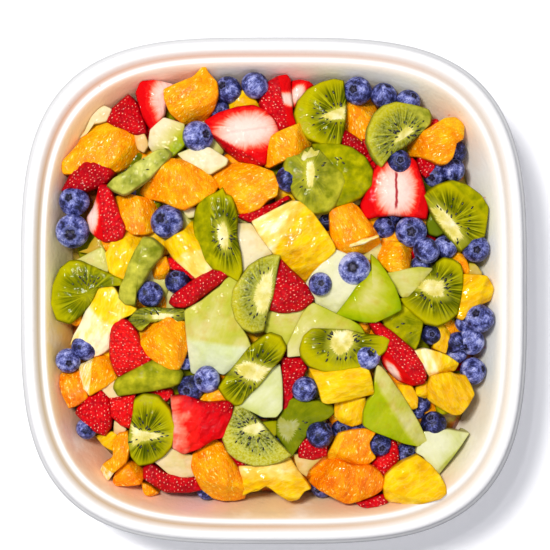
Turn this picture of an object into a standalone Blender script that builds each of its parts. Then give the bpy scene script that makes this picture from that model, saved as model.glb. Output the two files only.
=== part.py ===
# A fruit salad heaped in a square moulded-fibre bowl with a rolled rim.
# Two solids: the thin bowl, and the heap of cut fruit and berries that fills it.
# Metres, +Z up. The origin is under the middle of the bowl's flat base.

import math

import bmesh
import bpy
import numpy as np

mm = 0.001

# ---- driving dimensions of the bowl (mm) ----
bowlHalf = 140.5        # half width across the trimmed lip
bowlHeight = 65.0       # top of the rolled flange
fibre = 1.6             # thickness of the moulded fibre
lipWidth = 1.6          # flat trimmed lip outside the roll
lipDrop = 5.2           # lip below the top of the roll
lipRise = 0.9           # the roll's steep outer side, inwards from the flat lip
lipRiseShare = 0.42     # how far below its crest that side starts, as a share of the lip's drop
rollCrest = 5.4         # crest of the roll, inwards from the lip's edge
rollOut = 1.6           # the crest's rounding, outwards and inwards, and how far it falls
rollIn = 2.4
rollOutDrop = 0.5
rollInDrop = 0.6
grooveIn = 9.7          # groove between roll and bead, inwards from the edge
grooveDrop = 2.6
grooveHalf = 0.8        # half the groove's flat bottom
grooveOutRise = 0.3
grooveInRise = 0.2
beadIn = 13.8           # crest of the inner bead, inwards from the edge
beadDrop = 0.5
beadHalf = 1.8          # the bead's rounding on either side of its crest
beadOutDrop = 0.5
beadInDrop = 0.6
wallIn = 17.2           # where the wall starts, inwards from the edge
wallDrop = 3.6
wallLean = 21.0         # degrees from upright
floorRound = 15.0       # radius between wall and floor
rimSquare = 3.5         # superellipse power of the rim, 2 is round
floorSquare = 3.0
floorSteps = 4          # points along the rounding above the floor
bowlSides = 60
smoothUnder = 40.0      # degrees between faces that still look smooth

# ---- driving dimensions of the heap (mm) ----
crownHeight = 64.0      # tops of the lowest pieces in the middle
edgeFall = 15.0         # how much lower they lie at the wall
fallPower = 3.0
levelStep = 2.5         # one level of overlap
coreDepth = 12.0        # gaps between pieces reach this far down
shoreLow = 46.0         # lowest and highest place where fruit meets the wall
shoreHigh = 56.0
shoreBand = 0.035       # width of the outermost strip, as a share of the way in
wallGap = 1.1
floorGap = 0.4
gridSteps = 116         # cells across the heap before it is simplified
heapFaces = 5700
sideRings = 6
softKeep = 0.5          # share of its own height that a point keeps when softened
chunkEdge = 2.5         # fall of a flat top towards its edge
chunkEdgePower = 7
chunkSquare = 5         # superellipse powers in plan: blocks, and sticks along their length
stickSquare = 4
stickRise = 1.0 / 3.0   # height of a stick's or strawberry's dome, as a share of its width
domeSteep = 2.4         # steepness of the sides below a dome and below a flat top
slabSteep = 2.6
berryTaper = 0.35       # how much narrower a strawberry is at its tip
berryTaperEnd = 1.2
berryBroad = 1.15       # broadening at the shoulder that keeps the stated width

# ---- the pieces of fruit on top, as they lie (mm, degrees) ----
# Round berries: x, y, width, level
berries = [
    (-25, 110, 15, 2), (-30, 99, 12, 0), (-10, 112, 16, 2), (-42, 84, 18, 3), (8, 61, 15, 3),
    (46, 109, 16, 2), (60, 107, 15, 1), (75, 104, 14, 0), (69, 70, 13, 3), (100, 76, 14, 0),
    (88, 63, 14, 0), (98, 66, 14, 1), (-110, 48, 17, 1), (-110, 32, 19, 2), (-59, 37, 19, 3),
    (-54, 4, 14, 2), (-69, -3, 15, 2), (60, 34, 13, 0), (75, 32, 17, 2), (84, 21, 15, 3),
    (94, 24, 14, 1), (111, 22, 16, 2), (44, 11, 18, 4), (25, 3, 13, 4), (-104, -32, 15, 2),
    (-115, -39, 14, 1), (-106, -77, 12, 0), (-37, -49, 15, 3), (-46, -54, 14, 2), (51, -36, 15, 4),
    (17, -55, 14, 3), (86, -25, 11, 1), (113, -16, 17, 3), (108, -28, 16, 2), (101, -32, 13, 1),
    (110, -45, 15, 2), (88, -74, 14, 2), (25, -80, 16, 3), (37, -77, 12, 0), (58, -85, 13, 2),
    (73, -90, 12, 0),
]
# Flat-topped pieces with soft corners, orange, pineapple and melon: x, y, turn, length, width, level
chunks = [
    (-94, 78, 5, 42, 27, 1), (-46, 108, 60, 30, 28, 3), (-54, 59, -8, 44, 27, 3),
    (-17, 57, 0, 37, 29, 2), (8, 80, 30, 27, 19, 3), (46, 93, 80, 20, 17, 0),
    (86, 82, 18, 38, 24, 2), (-76, 42, 0, 28, 24, 1), (45, 34, -25, 29, 26, 2),
    (67, 18, 0, 19, 16, 1), (102, 15, -60, 14, 9, 0), (-98, -48, 15, 19, 19, 2),
    (-111, -55, -70, 19, 15, 1), (-61, -30, -10, 27, 28, 3), (-34, -59, 5, 18, 9, 1),
    (-87, -92, 70, 26, 15, 2), (-80, -102, 5, 17, 12, 1), (-31, -101, -55, 34, 27, 3),
    (42, -88, 0, 26, 18, 2), (11, 27, 45, 33, 32, 3), (-82, 20, 60, 25, 18, 1),
    (-47, 22, -40, 30, 22, 2), (-96, -16, 62, 44, 22, 2), (111, -2, 75, 23, 17, 1),
    (40, -53, 5, 31, 18, 4), (42, -68, 85, 15, 15, 1), (90, -41, -20, 22, 13, 2),
    (97, -58, -10, 24, 22, 3), (82, -55, 0, 8, 9, 1), (73, -59, -50, 16, 8, 1),
    (-93, -84, -40, 15, 9, 0), (0, -104, 2, 37, 17, 2), (78, -107, 12, 31, 24, 3),
    (-62, 84, 60, 22, 20, 1), (-38, 72, -10, 27, 14, 1), (-99, 17, 10, 16, 10, 1),
    (-14, 24, -70, 26, 15, 1), (34, 4, 45, 32, 26, 2), (54, -4, 40, 30, 27, 3),
    (76, 5, -10, 22, 12, 1), (-33, -22, 80, 42, 32, 2), (5, -19, 50, 18, 17, 1),
    (28, -20, 20, 34, 22, 2), (-6, -58, 70, 28, 19, 2), (68, -66, -52, 48, 22, 3),
    (-90, -56, 0, 9, 9, 1), (-56, -96, 0, 20, 13, 1), (94, -88, 35, 22, 18, 2),
]
# Half slices of kiwi, curved on one side: x, y, turn of the straight side, length, width, level
halfSlices = [
    (26, 98, 90, 36, 25, 2), (66, 89, 222, 36, 26, 3), (34, 61, 0, 42, 36, 3),
    (103, 44, 308, 44, 28, 2), (-108, -1, 90, 34, 27, 2), (-12, -2, 80, 42, 23, 3),
    (90, -3, 180, 33, 32, 2), (38, -33, 180, 46, 21, 3), (-13, -82, 310, 40, 28, 2),
    (17, -72, 40, 28, 24, 1), (73, -20, 140, 24, 17, 1),
]
# Sticks and tall slices of kiwi, round at both ends: x, y, turn, length, width, level
sticks = [
    (-76, 66, 32, 38, 12, 4), (-74, 10, 62, 38, 14, 3), (-32, 31, 93, 43, 21, 3),
    (-64, -16, 4, 30, 9, 2), (-70, -50, 13, 38, 14, 4), (-67, -78, 95, 39, 25, 2),
    (-12, -44, 50, 44, 19, 3), (40, -106, 176, 43, 24, 3),
]
# Strawberries, narrowing to a tip: x, y, turn towards the tip, length, width, level
strawberries = [
    (-81, 96, 110, 26, 22, 2), (-67, 102, 100, 28, 14, 1), (-103, 63, 10, 30, 19, 3),
    (-18, 86, 160, 42, 30, 2), (1, 104, -80, 31, 16, 2), (15, 108, -70, 15, 12, 0),
    (44, 80, -40, 15, 10, 1), (67, 55, 95, 37, 34, 2), (-93, 42, -75, 30, 18, 2),
    (-7, 44, 22, 28, 8, 1), (-40, 2, 28, 39, 13, 3), (-51, 11, -40, 18, 6, 1),
    (9, 1, 105, 29, 24, 3), (-82, -33, 95, 32, 24, 3), (-99, -68, 75, 26, 20, 2),
    (-84, -68, -70, 20, 14, 2), (11, -50, -80, 30, 13, 1), (-40, -75, 250, 32, 33, 3),
    (70, -36, -48, 42, 18, 3), (-56, -105, -12, 34, 14, 2), (63, -93, 60, 20, 15, 1),
    (22, -88, 0, 15, 9, 1), (54, -117, 8, 17, 8, 1),
]


def clearScene():
    for thing in list(bpy.data.objects):
        bpy.data.objects.remove(thing, do_unlink=True)


def plainMaterial(name, colour, roughness):
    made = bpy.data.materials.new(name)
    made.use_nodes = True
    shader = made.node_tree.nodes["Principled BSDF"]
    shader.inputs["Base Color"].default_value = (*colour, 1.0)
    shader.inputs["Roughness"].default_value = roughness
    shader.inputs["Metallic"].default_value = 0.0
    return made


def addObject(name, points, faces, material):
    mesh = bpy.data.meshes.new(name)
    mesh.from_pydata((np.asarray(points) * mm).tolist(), [], faces)
    mesh.materials.append(material)
    made = bpy.data.objects.new(name, mesh)
    bpy.context.collection.objects.link(made)
    return made


# The distance from the axis to a superellipse of half width `half`, in direction (cosine, sine).
def squircleReach(cosine, sine, half, square):
    return half / (np.abs(cosine) ** square + np.abs(sine) ** square) ** (1.0 / square)


# Arc points between two angles (degrees), for the rounded stretches of the wall's profile.
def arcPoints(centreX, centreZ, radius, start, end, count):
    turns = np.radians(np.linspace(start, end, count))
    return [(centreX + radius * math.cos(t), centreZ + radius * math.sin(t)) for t in turns]


# The inside of the bowl from the lip's edge to the floor: half width and height at each point.
def innerProfile():
    top = bowlHeight
    lean = math.radians(wallLean)
    rim = [
        (bowlHalf, top - lipDrop),
        (bowlHalf - lipWidth, top - lipDrop),
        (bowlHalf - lipWidth - lipRise, top - lipRiseShare * lipDrop),
        (bowlHalf - rollCrest + rollOut, top - rollOutDrop),
        (bowlHalf - rollCrest, top),
        (bowlHalf - rollCrest - rollIn, top - rollInDrop),
        (bowlHalf - grooveIn + grooveHalf, top - grooveDrop + grooveOutRise),
        (bowlHalf - grooveIn - grooveHalf, top - grooveDrop + grooveInRise),
        (bowlHalf - beadIn + beadHalf, top - beadDrop - beadOutDrop),
        (bowlHalf - beadIn, top - beadDrop),
        (bowlHalf - beadIn - beadHalf, top - beadDrop - beadInDrop),
        (bowlHalf - wallIn, top - wallDrop),
    ]
    wallStart, wallTop = rim[-1]
    floor = fibre
    # The wall runs straight down its lean until the floor's rounding takes over.
    roundTop = floor + floorRound * (1.0 - math.sin(lean))
    roundHalf = wallStart - (wallTop - roundTop) * math.tan(lean)
    middleHalf = (wallStart + roundHalf) / 2.0
    centreX = roundHalf - floorRound * math.cos(lean)
    turnIn = arcPoints(centreX, floor + floorRound, floorRound, -wallLean, -90.0, floorSteps)
    return rim + [(middleHalf, (wallTop + roundTop) / 2.0)] + turnIn


# Each row scaled to length one.
def unit(rows):
    return rows / np.linalg.norm(rows, axis=1)[:, None]


# The same profile moved outwards by the fibre's thickness, square to its own direction.
def outerProfile(inner):
    shape = np.array(inner)
    ahead = np.roll(shape, -1, axis=0) - shape
    ahead[-1] = (-1.0, 0.0)
    behind = np.roll(ahead, 1, axis=0)
    behind[0] = ahead[0]
    direction = unit(unit(ahead) + unit(behind))
    outwards = np.stack([-direction[:, 1], direction[:, 0]], axis=1)
    moved = shape + outwards * fibre
    moved[0] = (bowlHalf, bowlHeight - lipDrop - fibre)
    moved[1] = (bowlHalf - lipWidth - 0.5 * fibre, bowlHeight - lipDrop - fibre)
    moved[-1, 1] = 0.0
    return moved


# How square the plan is at a given height: the rim's power above, easing to the floor's below.
def squareAt(height):
    share = np.clip(np.asarray(height) / bowlHeight, 0.0, 1.0)
    return floorSquare + (rimSquare - floorSquare) * share


# One ring of the bowl: a superellipse at one height.
def bowlRing(half, height):
    turns = np.linspace(0.0, 2.0 * math.pi, bowlSides, endpoint=False)
    cosine, sine = np.cos(turns), np.sin(turns)
    reach = squircleReach(cosine, sine, half, squareAt(height))
    return np.stack([reach * cosine, reach * sine, np.full(bowlSides, height)], axis=1)


def makeBowl():
    inner = innerProfile()
    outer = outerProfile(inner)
    rings = [bowlRing(half, height) for half, height in inner]
    rings += [bowlRing(half, height) for half, height in outer[::-1]]
    points = np.concatenate(rings)
    faces = []
    ringCount = len(rings)
    innerLast = len(inner) - 1
    for ring in range(ringCount):
        if ring == innerLast:
            continue
        following = (ring + 1) % ringCount
        for side in range(bowlSides):
            ahead = (side + 1) % bowlSides
            a, b = ring * bowlSides + side, ring * bowlSides + ahead
            c, d = following * bowlSides + ahead, following * bowlSides + side
            faces.append((a, b, c, d))
    # The floor and the underside are flat caps.
    floorStart = innerLast * bowlSides
    faces.append(tuple(floorStart + side for side in range(bowlSides)))
    baseStart = (innerLast + 1) * bowlSides
    faces.append(tuple(baseStart + side for side in reversed(range(bowlSides))))
    material = plainMaterial("mouldedFibre", (0.88, 0.85, 0.81), 0.75)
    bowl = addObject("fibre_bowl", points, faces, material)
    mesh = bowl.data
    mesh.shade_smooth()
    mesh.set_sharp_from_angle(angle=math.radians(smoothUnder))
    return inner


# Half width of the bowl's inside at each height, from its profile below the rim.
def insideHalf(inner, heights):
    wallPoints = floorSteps + 2
    wall = np.array(inner[-wallPoints:])[::-1]
    return np.interp(heights, wall[:, 1], wall[:, 0])


# Height of the lowest pieces' tops: a low dome that falls towards the wall and more in the corners.
def domeHeight(x, y):
    half = bowlHalf - wallIn
    reach = (np.abs(x / half) ** rimSquare + np.abs(y / half) ** rimSquare) ** (1.0 / rimSquare)
    corner = np.hypot(x, y) / half
    return crownHeight - edgeFall * (0.6 * reach ** fallPower + 0.4 * corner ** fallPower)


# Coordinates of the grid in a piece's own frame, u along its length and v across it.
def turned(x, y, placeX, placeY, turn):
    angle = math.radians(turn)
    u = (x - placeX) * math.cos(angle) + (y - placeY) * math.sin(angle)
    v = (y - placeY) * math.cos(angle) - (x - placeX) * math.sin(angle)
    return u, v


def topOf(placeX, placeY, level):
    return domeHeight(placeX, placeY) + levelStep * (level + 1)


# A dome: full height in the middle, an ellipsoid's fall to the edge, then a steep side.
def domeShape(reach, rise, narrow):
    inside = rise * (1.0 - np.sqrt(np.clip(1.0 - reach ** 2, 0.0, 1.0)))
    return np.where(reach < 1.0, inside, rise + (reach - 1.0) * narrow * domeSteep)


# A flat top with a soft edge and steep sides.
def slabShape(reach, edge, narrow):
    inside = edge * np.clip(reach, 0.0, 1.0) ** chunkEdgePower
    return np.where(reach < 1.0, inside, edge + (reach - 1.0) * narrow * slabSteep)


# The heap's surface: at every point the highest of all the pieces and of the core between them.
def heapSurface(x, y):
    surface = domeHeight(x, y) - coreDepth
    for placeX, placeY, width, level in berries:
        u, v = turned(x, y, placeX, placeY, 0.0)
        reach = np.hypot(u, v) / (width / 2.0)
        top = topOf(placeX, placeY, level) - domeShape(reach, width / 2.0, width / 2.0)
        surface = np.maximum(surface, top)
    for placeX, placeY, turn, length, width, level in chunks:
        u, v = turned(x, y, placeX, placeY, turn)
        power = np.abs(2.0 * u / length) ** chunkSquare + np.abs(2.0 * v / width) ** chunkSquare
        reach = power ** (1.0 / chunkSquare)
        top = topOf(placeX, placeY, level) - slabShape(reach, chunkEdge, width / 2.0)
        surface = np.maximum(surface, top)
    for placeX, placeY, turn, length, width, level in halfSlices:
        u, v = turned(x, y, placeX, placeY, turn)
        fromChord = (v + width / 2.0) / width
        curved = np.hypot(2.0 * u / length, np.clip(fromChord, 0.0, None))
        reach = np.maximum(curved, 1.0 - 2.0 * fromChord)
        top = topOf(placeX, placeY, level) - slabShape(reach, chunkEdge, width / 2.0)
        surface = np.maximum(surface, top)
    for placeX, placeY, turn, length, width, level in sticks:
        u, v = turned(x, y, placeX, placeY, turn)
        reach = np.sqrt(np.abs(2.0 * u / length) ** stickSquare + (2.0 * v / width) ** 2)
        top = topOf(placeX, placeY, level) - domeShape(reach, width * stickRise, width / 2.0)
        surface = np.maximum(surface, top)
    for placeX, placeY, turn, length, width, level in strawberries:
        u, v = turned(x, y, placeX, placeY, turn)
        taper = 1.0 - berryTaper * np.clip(u / length + 0.5, 0.0, berryTaperEnd)
        reach = np.hypot(2.0 * u / length, 2.0 * v / (width * taper * berryBroad))
        top = topOf(placeX, placeY, level) - domeShape(reach, width * stickRise, width / 2.0)
        surface = np.maximum(surface, top)
    return surface


# The unit square's grid drawn out to a squircle: square rings become superellipse rings.
def squircleGrid(half, square):
    line = np.linspace(-1.0, 1.0, gridSteps + 1)
    u, v = np.meshgrid(line, line, indexing="ij")
    largest = np.maximum(np.abs(u), np.abs(v))
    power = (np.abs(u) ** square + np.abs(v) ** square) ** (1.0 / square)
    scale = half * largest / np.where(power > 0.0, power, 1.0)
    return u * scale, v * scale, largest


# The border of a square grid, once round, as point numbers.
def gridBorder(count):
    last = count - 1
    bottom = [(i, 0) for i in range(last)]
    right = [(last, j) for j in range(last)]
    top = [(last - i, last) for i in range(last)]
    left = [(0, last - j) for j in range(last)]
    return [i * count + j for i, j in bottom + right + top + left]


# Each inner height averaged with its four neighbours, so that no step is sheer.
def softened(height):
    soft = height.copy()
    beside = height[2:, 1:-1] + height[:-2, 1:-1] + height[1:-1, 2:] + height[1:-1, :-2]
    soft[1:-1, 1:-1] = softKeep * height[1:-1, 1:-1] + (1.0 - softKeep) / 4.0 * beside
    return soft


# Where the heap meets the wall in each point's direction: its height, and the point moved on to it.
def meetWall(inner, x, y, largest):
    startHalf = float(insideHalf(inner, shoreHigh)) - wallGap
    inwards = np.where(largest > 0.0, largest, 1.0)
    shore = np.clip(heapSurface(x / inwards, y / inwards), shoreLow, shoreHigh)
    distance = np.hypot(x, y)
    cosine = np.where(distance > 0.0, x / np.where(distance > 0.0, distance, 1.0), 1.0)
    sine = np.where(distance > 0.0, y / np.where(distance > 0.0, distance, 1.0), 0.0)
    half = insideHalf(inner, shore) - wallGap
    reach = squircleReach(cosine, sine, half, squareAt(shore))
    begin = squircleReach(cosine, sine, startHalf, squareAt(shoreHigh))
    return shore, x * reach / begin, y * reach / begin


def makeHeap(inner):
    count = gridSteps + 1
    startHalf = float(insideHalf(inner, shoreHigh)) - wallGap
    x, y, largest = squircleGrid(startHalf, squareAt(shoreHigh))
    shore, x, y = meetWall(inner, x, y, largest)
    # The outermost cells run down to the line where the fruit meets the wall.
    ease = np.clip((1.0 - largest) / shoreBand, 0.0, 1.0)
    height = softened(shore + (heapSurface(x, y) - shore) * ease)
    top = np.stack([x.ravel(), y.ravel(), height.ravel()], axis=1)
    border = gridBorder(count)
    edge = top[border]
    direction = edge[:, :2] / np.linalg.norm(edge[:, :2], axis=1)[:, None]
    rings = []
    for share in np.linspace(0.0, 1.0, sideRings + 1)[1:]:
        ringHeight = edge[:, 2] + (fibre + floorGap - edge[:, 2]) * share
        # Measured a little lower, so that the rounding above the floor keeps the same gap.
        half = insideHalf(inner, ringHeight - floorGap) - wallGap
        reach = squircleReach(direction[:, 0], direction[:, 1], half, squareAt(ringHeight))
        rings.append(np.column_stack([direction * reach[:, None], ringHeight]))
    points = np.concatenate([top] + rings)
    faces = []
    for i in range(gridSteps):
        for j in range(gridSteps):
            a = i * count + j
            faces.append((a, a + count, a + count + 1, a + 1))
    around = len(border)
    upper = border
    for ring in range(len(rings)):
        start = count * count + ring * around
        lower = list(range(start, start + around))
        for side in range(around):
            ahead = (side + 1) % around
            faces.append((upper[side], lower[side], lower[ahead], upper[ahead]))
        upper = lower
    faces.append(tuple(reversed(upper)))
    material = plainMaterial("freshFruit", (0.82, 0.36, 0.08), 0.35)
    heap = addObject("fruit_heap", points, faces, material)
    triangles = 2 * gridSteps ** 2 + 2 * around * len(rings) + around
    simpler = heap.modifiers.new("simpler", "DECIMATE")
    simpler.ratio = heapFaces / triangles
    return heap


def main():
    clearScene()
    inner = makeBowl()
    makeHeap(inner)


main()
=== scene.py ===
import math

import bpy
import numpy as np
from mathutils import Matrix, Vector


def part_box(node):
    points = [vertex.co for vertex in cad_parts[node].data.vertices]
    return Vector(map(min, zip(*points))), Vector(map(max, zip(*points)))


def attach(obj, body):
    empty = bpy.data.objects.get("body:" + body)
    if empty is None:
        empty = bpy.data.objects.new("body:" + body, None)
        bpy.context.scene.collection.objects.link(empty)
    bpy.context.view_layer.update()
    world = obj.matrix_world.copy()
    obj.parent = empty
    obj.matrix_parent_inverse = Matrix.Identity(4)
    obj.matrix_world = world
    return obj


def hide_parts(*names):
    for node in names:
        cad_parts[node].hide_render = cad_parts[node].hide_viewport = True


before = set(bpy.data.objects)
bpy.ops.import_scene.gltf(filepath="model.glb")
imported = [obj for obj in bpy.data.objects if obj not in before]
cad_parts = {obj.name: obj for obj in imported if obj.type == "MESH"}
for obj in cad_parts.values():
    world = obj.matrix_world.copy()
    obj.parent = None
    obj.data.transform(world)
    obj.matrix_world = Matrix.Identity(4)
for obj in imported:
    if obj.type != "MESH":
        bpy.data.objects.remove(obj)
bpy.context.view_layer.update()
mm = 0.001
_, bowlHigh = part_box("fibre_bowl")
_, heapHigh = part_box("fruit_heap")
bowlHalf = bowlHigh[0] / mm
bowlHeight = bowlHigh[2] / mm
heapTop = heapHigh[2] / mm
wholeTurn = 6.28  # radians, near enough for waves and chance directions
random = np.random.default_rng(7)
print("frame loaded", round(bowlHalf, 1), round(bowlHeight, 1), round(heapTop, 1))


# The shape of the bowl, which everything else fits: the rim's widths count inwards from the lip's
# edge and its drops down from the top.
bowl = {
    "fibre": 1.6, "lip": 1.6, "lipDrop": 5.2, "roll": 5.4, "groove": 9.7, "grooveDrop": 2.6,
    "bead": 13.8, "beadDrop": 0.5, "wall": 17.2, "wallDrop": 3.6, "lean": 21.0, "floorRound": 15.0,
    "rimSquare": 3.5, "floorSquare": 3.0, "columns": 192, "step": 0.9, "floorRows": 8,
    "waver": 0.16, "waverLength": 9.0,
}

# The heap: its level in the middle, how much and how steeply it falls towards the wall, the height
# of one level in the tables, and how far a piece may be lifted to clear the wall.
heapForm = {"crown": 62.2, "fall": 11.5, "power": 3.0, "level": 3.0, "rise": 7.0}

# The camera: the point under it, how far all places move as one, its distance above the rim, how
# wide it sees there, and its sensor.
view = {"eye": (0.7, 8.7), "moved": (0.2, 0.7), "away": 900.0, "across": 303.4, "sensor": 36.0}


# Half width and height along the inside, from the lip over the roll, groove and bead to the floor.
def innerProfile():
    b, half, top = bowl, bowlHalf, bowlHeight
    lean = math.radians(b["lean"])
    rim = [
        (half, top - b["lipDrop"]), (half - b["lip"], top - b["lipDrop"]),
        (half - b["lip"] - 0.9, top - 0.42 * b["lipDrop"]), (half - b["roll"] + 1.6, top - 0.5),
        (half - b["roll"], top), (half - b["roll"] - 2.4, top - 0.6),
        (half - b["groove"] + 0.8, top - b["grooveDrop"] + 0.3),
        (half - b["groove"] - 0.8, top - b["grooveDrop"] + 0.2),
        (half - b["bead"] + 1.8, top - b["beadDrop"] - 0.5), (half - b["bead"], top - b["beadDrop"]),
        (half - b["bead"] - 1.8, top - b["beadDrop"] - 0.6), (half - b["wall"], top - b["wallDrop"]),
    ]
    startHalf, startTop = rim[-1]
    roundTop = b["fibre"] + b["floorRound"] * (1.0 - math.sin(lean))
    roundHalf = startHalf - (startTop - roundTop) * math.tan(lean)
    centre = roundHalf - b["floorRound"] * math.cos(lean)
    turns = np.radians(np.linspace(-b["lean"], -90.0, 7))
    bend = np.stack([centre + b["floorRound"] * np.cos(turns),
                     b["fibre"] + b["floorRound"] * (1.0 + np.sin(turns))], axis=1)
    return np.vstack([rim, bend])


# Power of the superellipse at a height: the rim's at the top, easing to the floor's.
def squareAt(height):
    share = np.clip(np.asarray(height) / bowlHeight, 0.0, 1.0)
    return bowl["floorSquare"] + (bowl["rimSquare"] - bowl["floorSquare"]) * share


# Reach of a superellipse: half over the n-th root of |cos|^n + |sin|^n.
def reachOf(cosine, sine, half, square):
    return half / (np.abs(cosine) ** square + np.abs(sine) ** square) ** (1.0 / square)


# The wall's inside as half widths and heights, from the floor up.
wallLine = innerProfile()[-8:][::-1]


# Half width of the wall's inside at a height, read off its line.
def wallAt(height):
    return np.interp(height, wallLine[:, 1], wallLine[:, 0])


# How far out a point may be at its height and in its direction before it meets the wall.
def wallReach(x, y, z, gap):
    away = np.maximum(np.hypot(x, y), 1e-6)
    return reachOf(x / away, y / away, wallAt(z) - gap, squareAt(z))


# Height at which the wall first stands clear of a point, read off the wall's line.
def clearHeight(x, y, gap):
    away = np.maximum(np.hypot(x, y), 1e-6)
    half = away / reachOf(x / away, y / away, 1.0, bowl["rimSquare"]) + gap
    return np.interp(half, wallLine[:, 0], wallLine[:, 1])


# Places in the tables hold at the rim's height: lower down they lie further out from the point
# under the camera, by the drop over the camera's distance, and all are moved a little as one.
def spreadOut(places, z):
    spots = np.array(places, dtype=float).reshape(-1, 2) + np.array(view["moved"])
    eye = np.array(view["eye"])
    return eye + (spots - eye) * (1.0 + (bowlHeight - z) / view["away"])


# The heap's level at a place: crown less fall times 0.6 of the cubed share of the way to the wall
# and 0.4 of the cubed share of plain distance.
def domeAt(x, y):
    half = bowlHalf - bowl["wall"]
    square = bowl["rimSquare"]
    reach = (np.abs(x / half) ** square + np.abs(y / half) ** square) ** (1.0 / square)
    corner = np.hypot(x, y) / half
    form = heapForm
    return form["crown"] - form["fall"] * (0.6 * reach ** form["power"] + 0.4 * corner ** form["power"])


# Places along a direction and across it, counted from a middle.
def turnedTo(x, y, middle, turn):
    dx, dy = x - middle[0], y - middle[1]
    return dx * math.cos(turn) + dy * math.sin(turn), dy * math.cos(turn) - dx * math.sin(turn)


# Closed skins from grids: rows by columns of points, wrapped sideways, with a tip at each end.
def closedSkins(grids, tops, bottoms, values):
    pieces, rows, columns, _ = grids.shape
    perPiece = rows * columns + 2
    points = np.concatenate([grids.reshape(pieces, -1, 3), tops[:, None], bottoms[:, None]], axis=1)
    i, j = np.meshgrid(np.arange(rows - 1), np.arange(columns), indexing="ij")
    ahead = (j + 1) % columns
    quads = np.stack([i * columns + j, (i + 1) * columns + j, (i + 1) * columns + ahead,
                      i * columns + ahead], axis=-1).reshape(-1, 4)
    j = np.arange(columns)
    ahead = (j + 1) % columns
    last = (rows - 1) * columns
    upper = np.stack([np.full(columns, rows * columns), j, ahead], axis=-1)
    lower = np.stack([np.full(columns, rows * columns + 1), last + ahead, last + j], axis=-1)
    start = (np.arange(pieces) * perPiece)[:, None, None]
    quads = (quads[None] + start).reshape(-1, 4)
    fans = (np.concatenate([upper, lower])[None] + start).reshape(-1, 3)
    spread = {}
    for name, value in values.items():
        ends = value[:, [0, -1]].mean(axis=2)
        spread[name] = np.concatenate([value.reshape(pieces, -1, 3), ends], axis=1).reshape(-1, 3)
    return points.reshape(-1, 3), quads, fans, spread


# One mesh from its points, four-sided and three-sided faces, with the values kept at every point.
def meshPiece(name, skins, material):
    points, quads, fans, values = skins
    mesh = bpy.data.meshes.new(name)
    mesh.vertices.add(len(points))
    mesh.vertices.foreach_set("co", (points * mm).astype(np.float32).ravel())
    corners = np.concatenate([quads.ravel(), fans.ravel()]).astype(np.int32)
    mesh.loops.add(len(corners))
    mesh.loops.foreach_set("vertex_index", corners)
    starts = np.concatenate([np.arange(len(quads)) * 4, quads.size + np.arange(len(fans)) * 3])
    mesh.polygons.add(len(starts))
    mesh.polygons.foreach_set("loop_start", starts.astype(np.int32))
    mesh.update(calc_edges=True)
    mesh.shade_smooth()
    for key, value in values.items():
        layer = mesh.attributes.new(key, "FLOAT_VECTOR", "POINT")
        layer.data.foreach_set("vector", value.astype(np.float32).ravel())
    mesh.materials.append(material)
    made = bpy.data.objects.new(name, mesh)
    bpy.context.scene.collection.objects.link(made)
    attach(made, "root")
    print(name, len(quads) * 2 + len(fans), "triangles")
    return made


# Screen colour to the renderer's linear one.
def colour(red, green, blue):
    share = np.array([red, green, blue]) / 255.0
    linear = np.where(share <= 0.04045, share / 12.92, ((share + 0.055) / 1.055) ** 2.4)
    return (*linear.tolist(), 1.0)


# The film of juice on cut fruit: how much coat, how rough, and its ripples.
juice = {"weight": 0.3, "rough": 0.05, "scale": 230.0, "detail": 1.5, "depth": 0.0014, "strength": 0.6}
scatterScale = 0.004  # how far light travels inside the flesh, in metres


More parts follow.
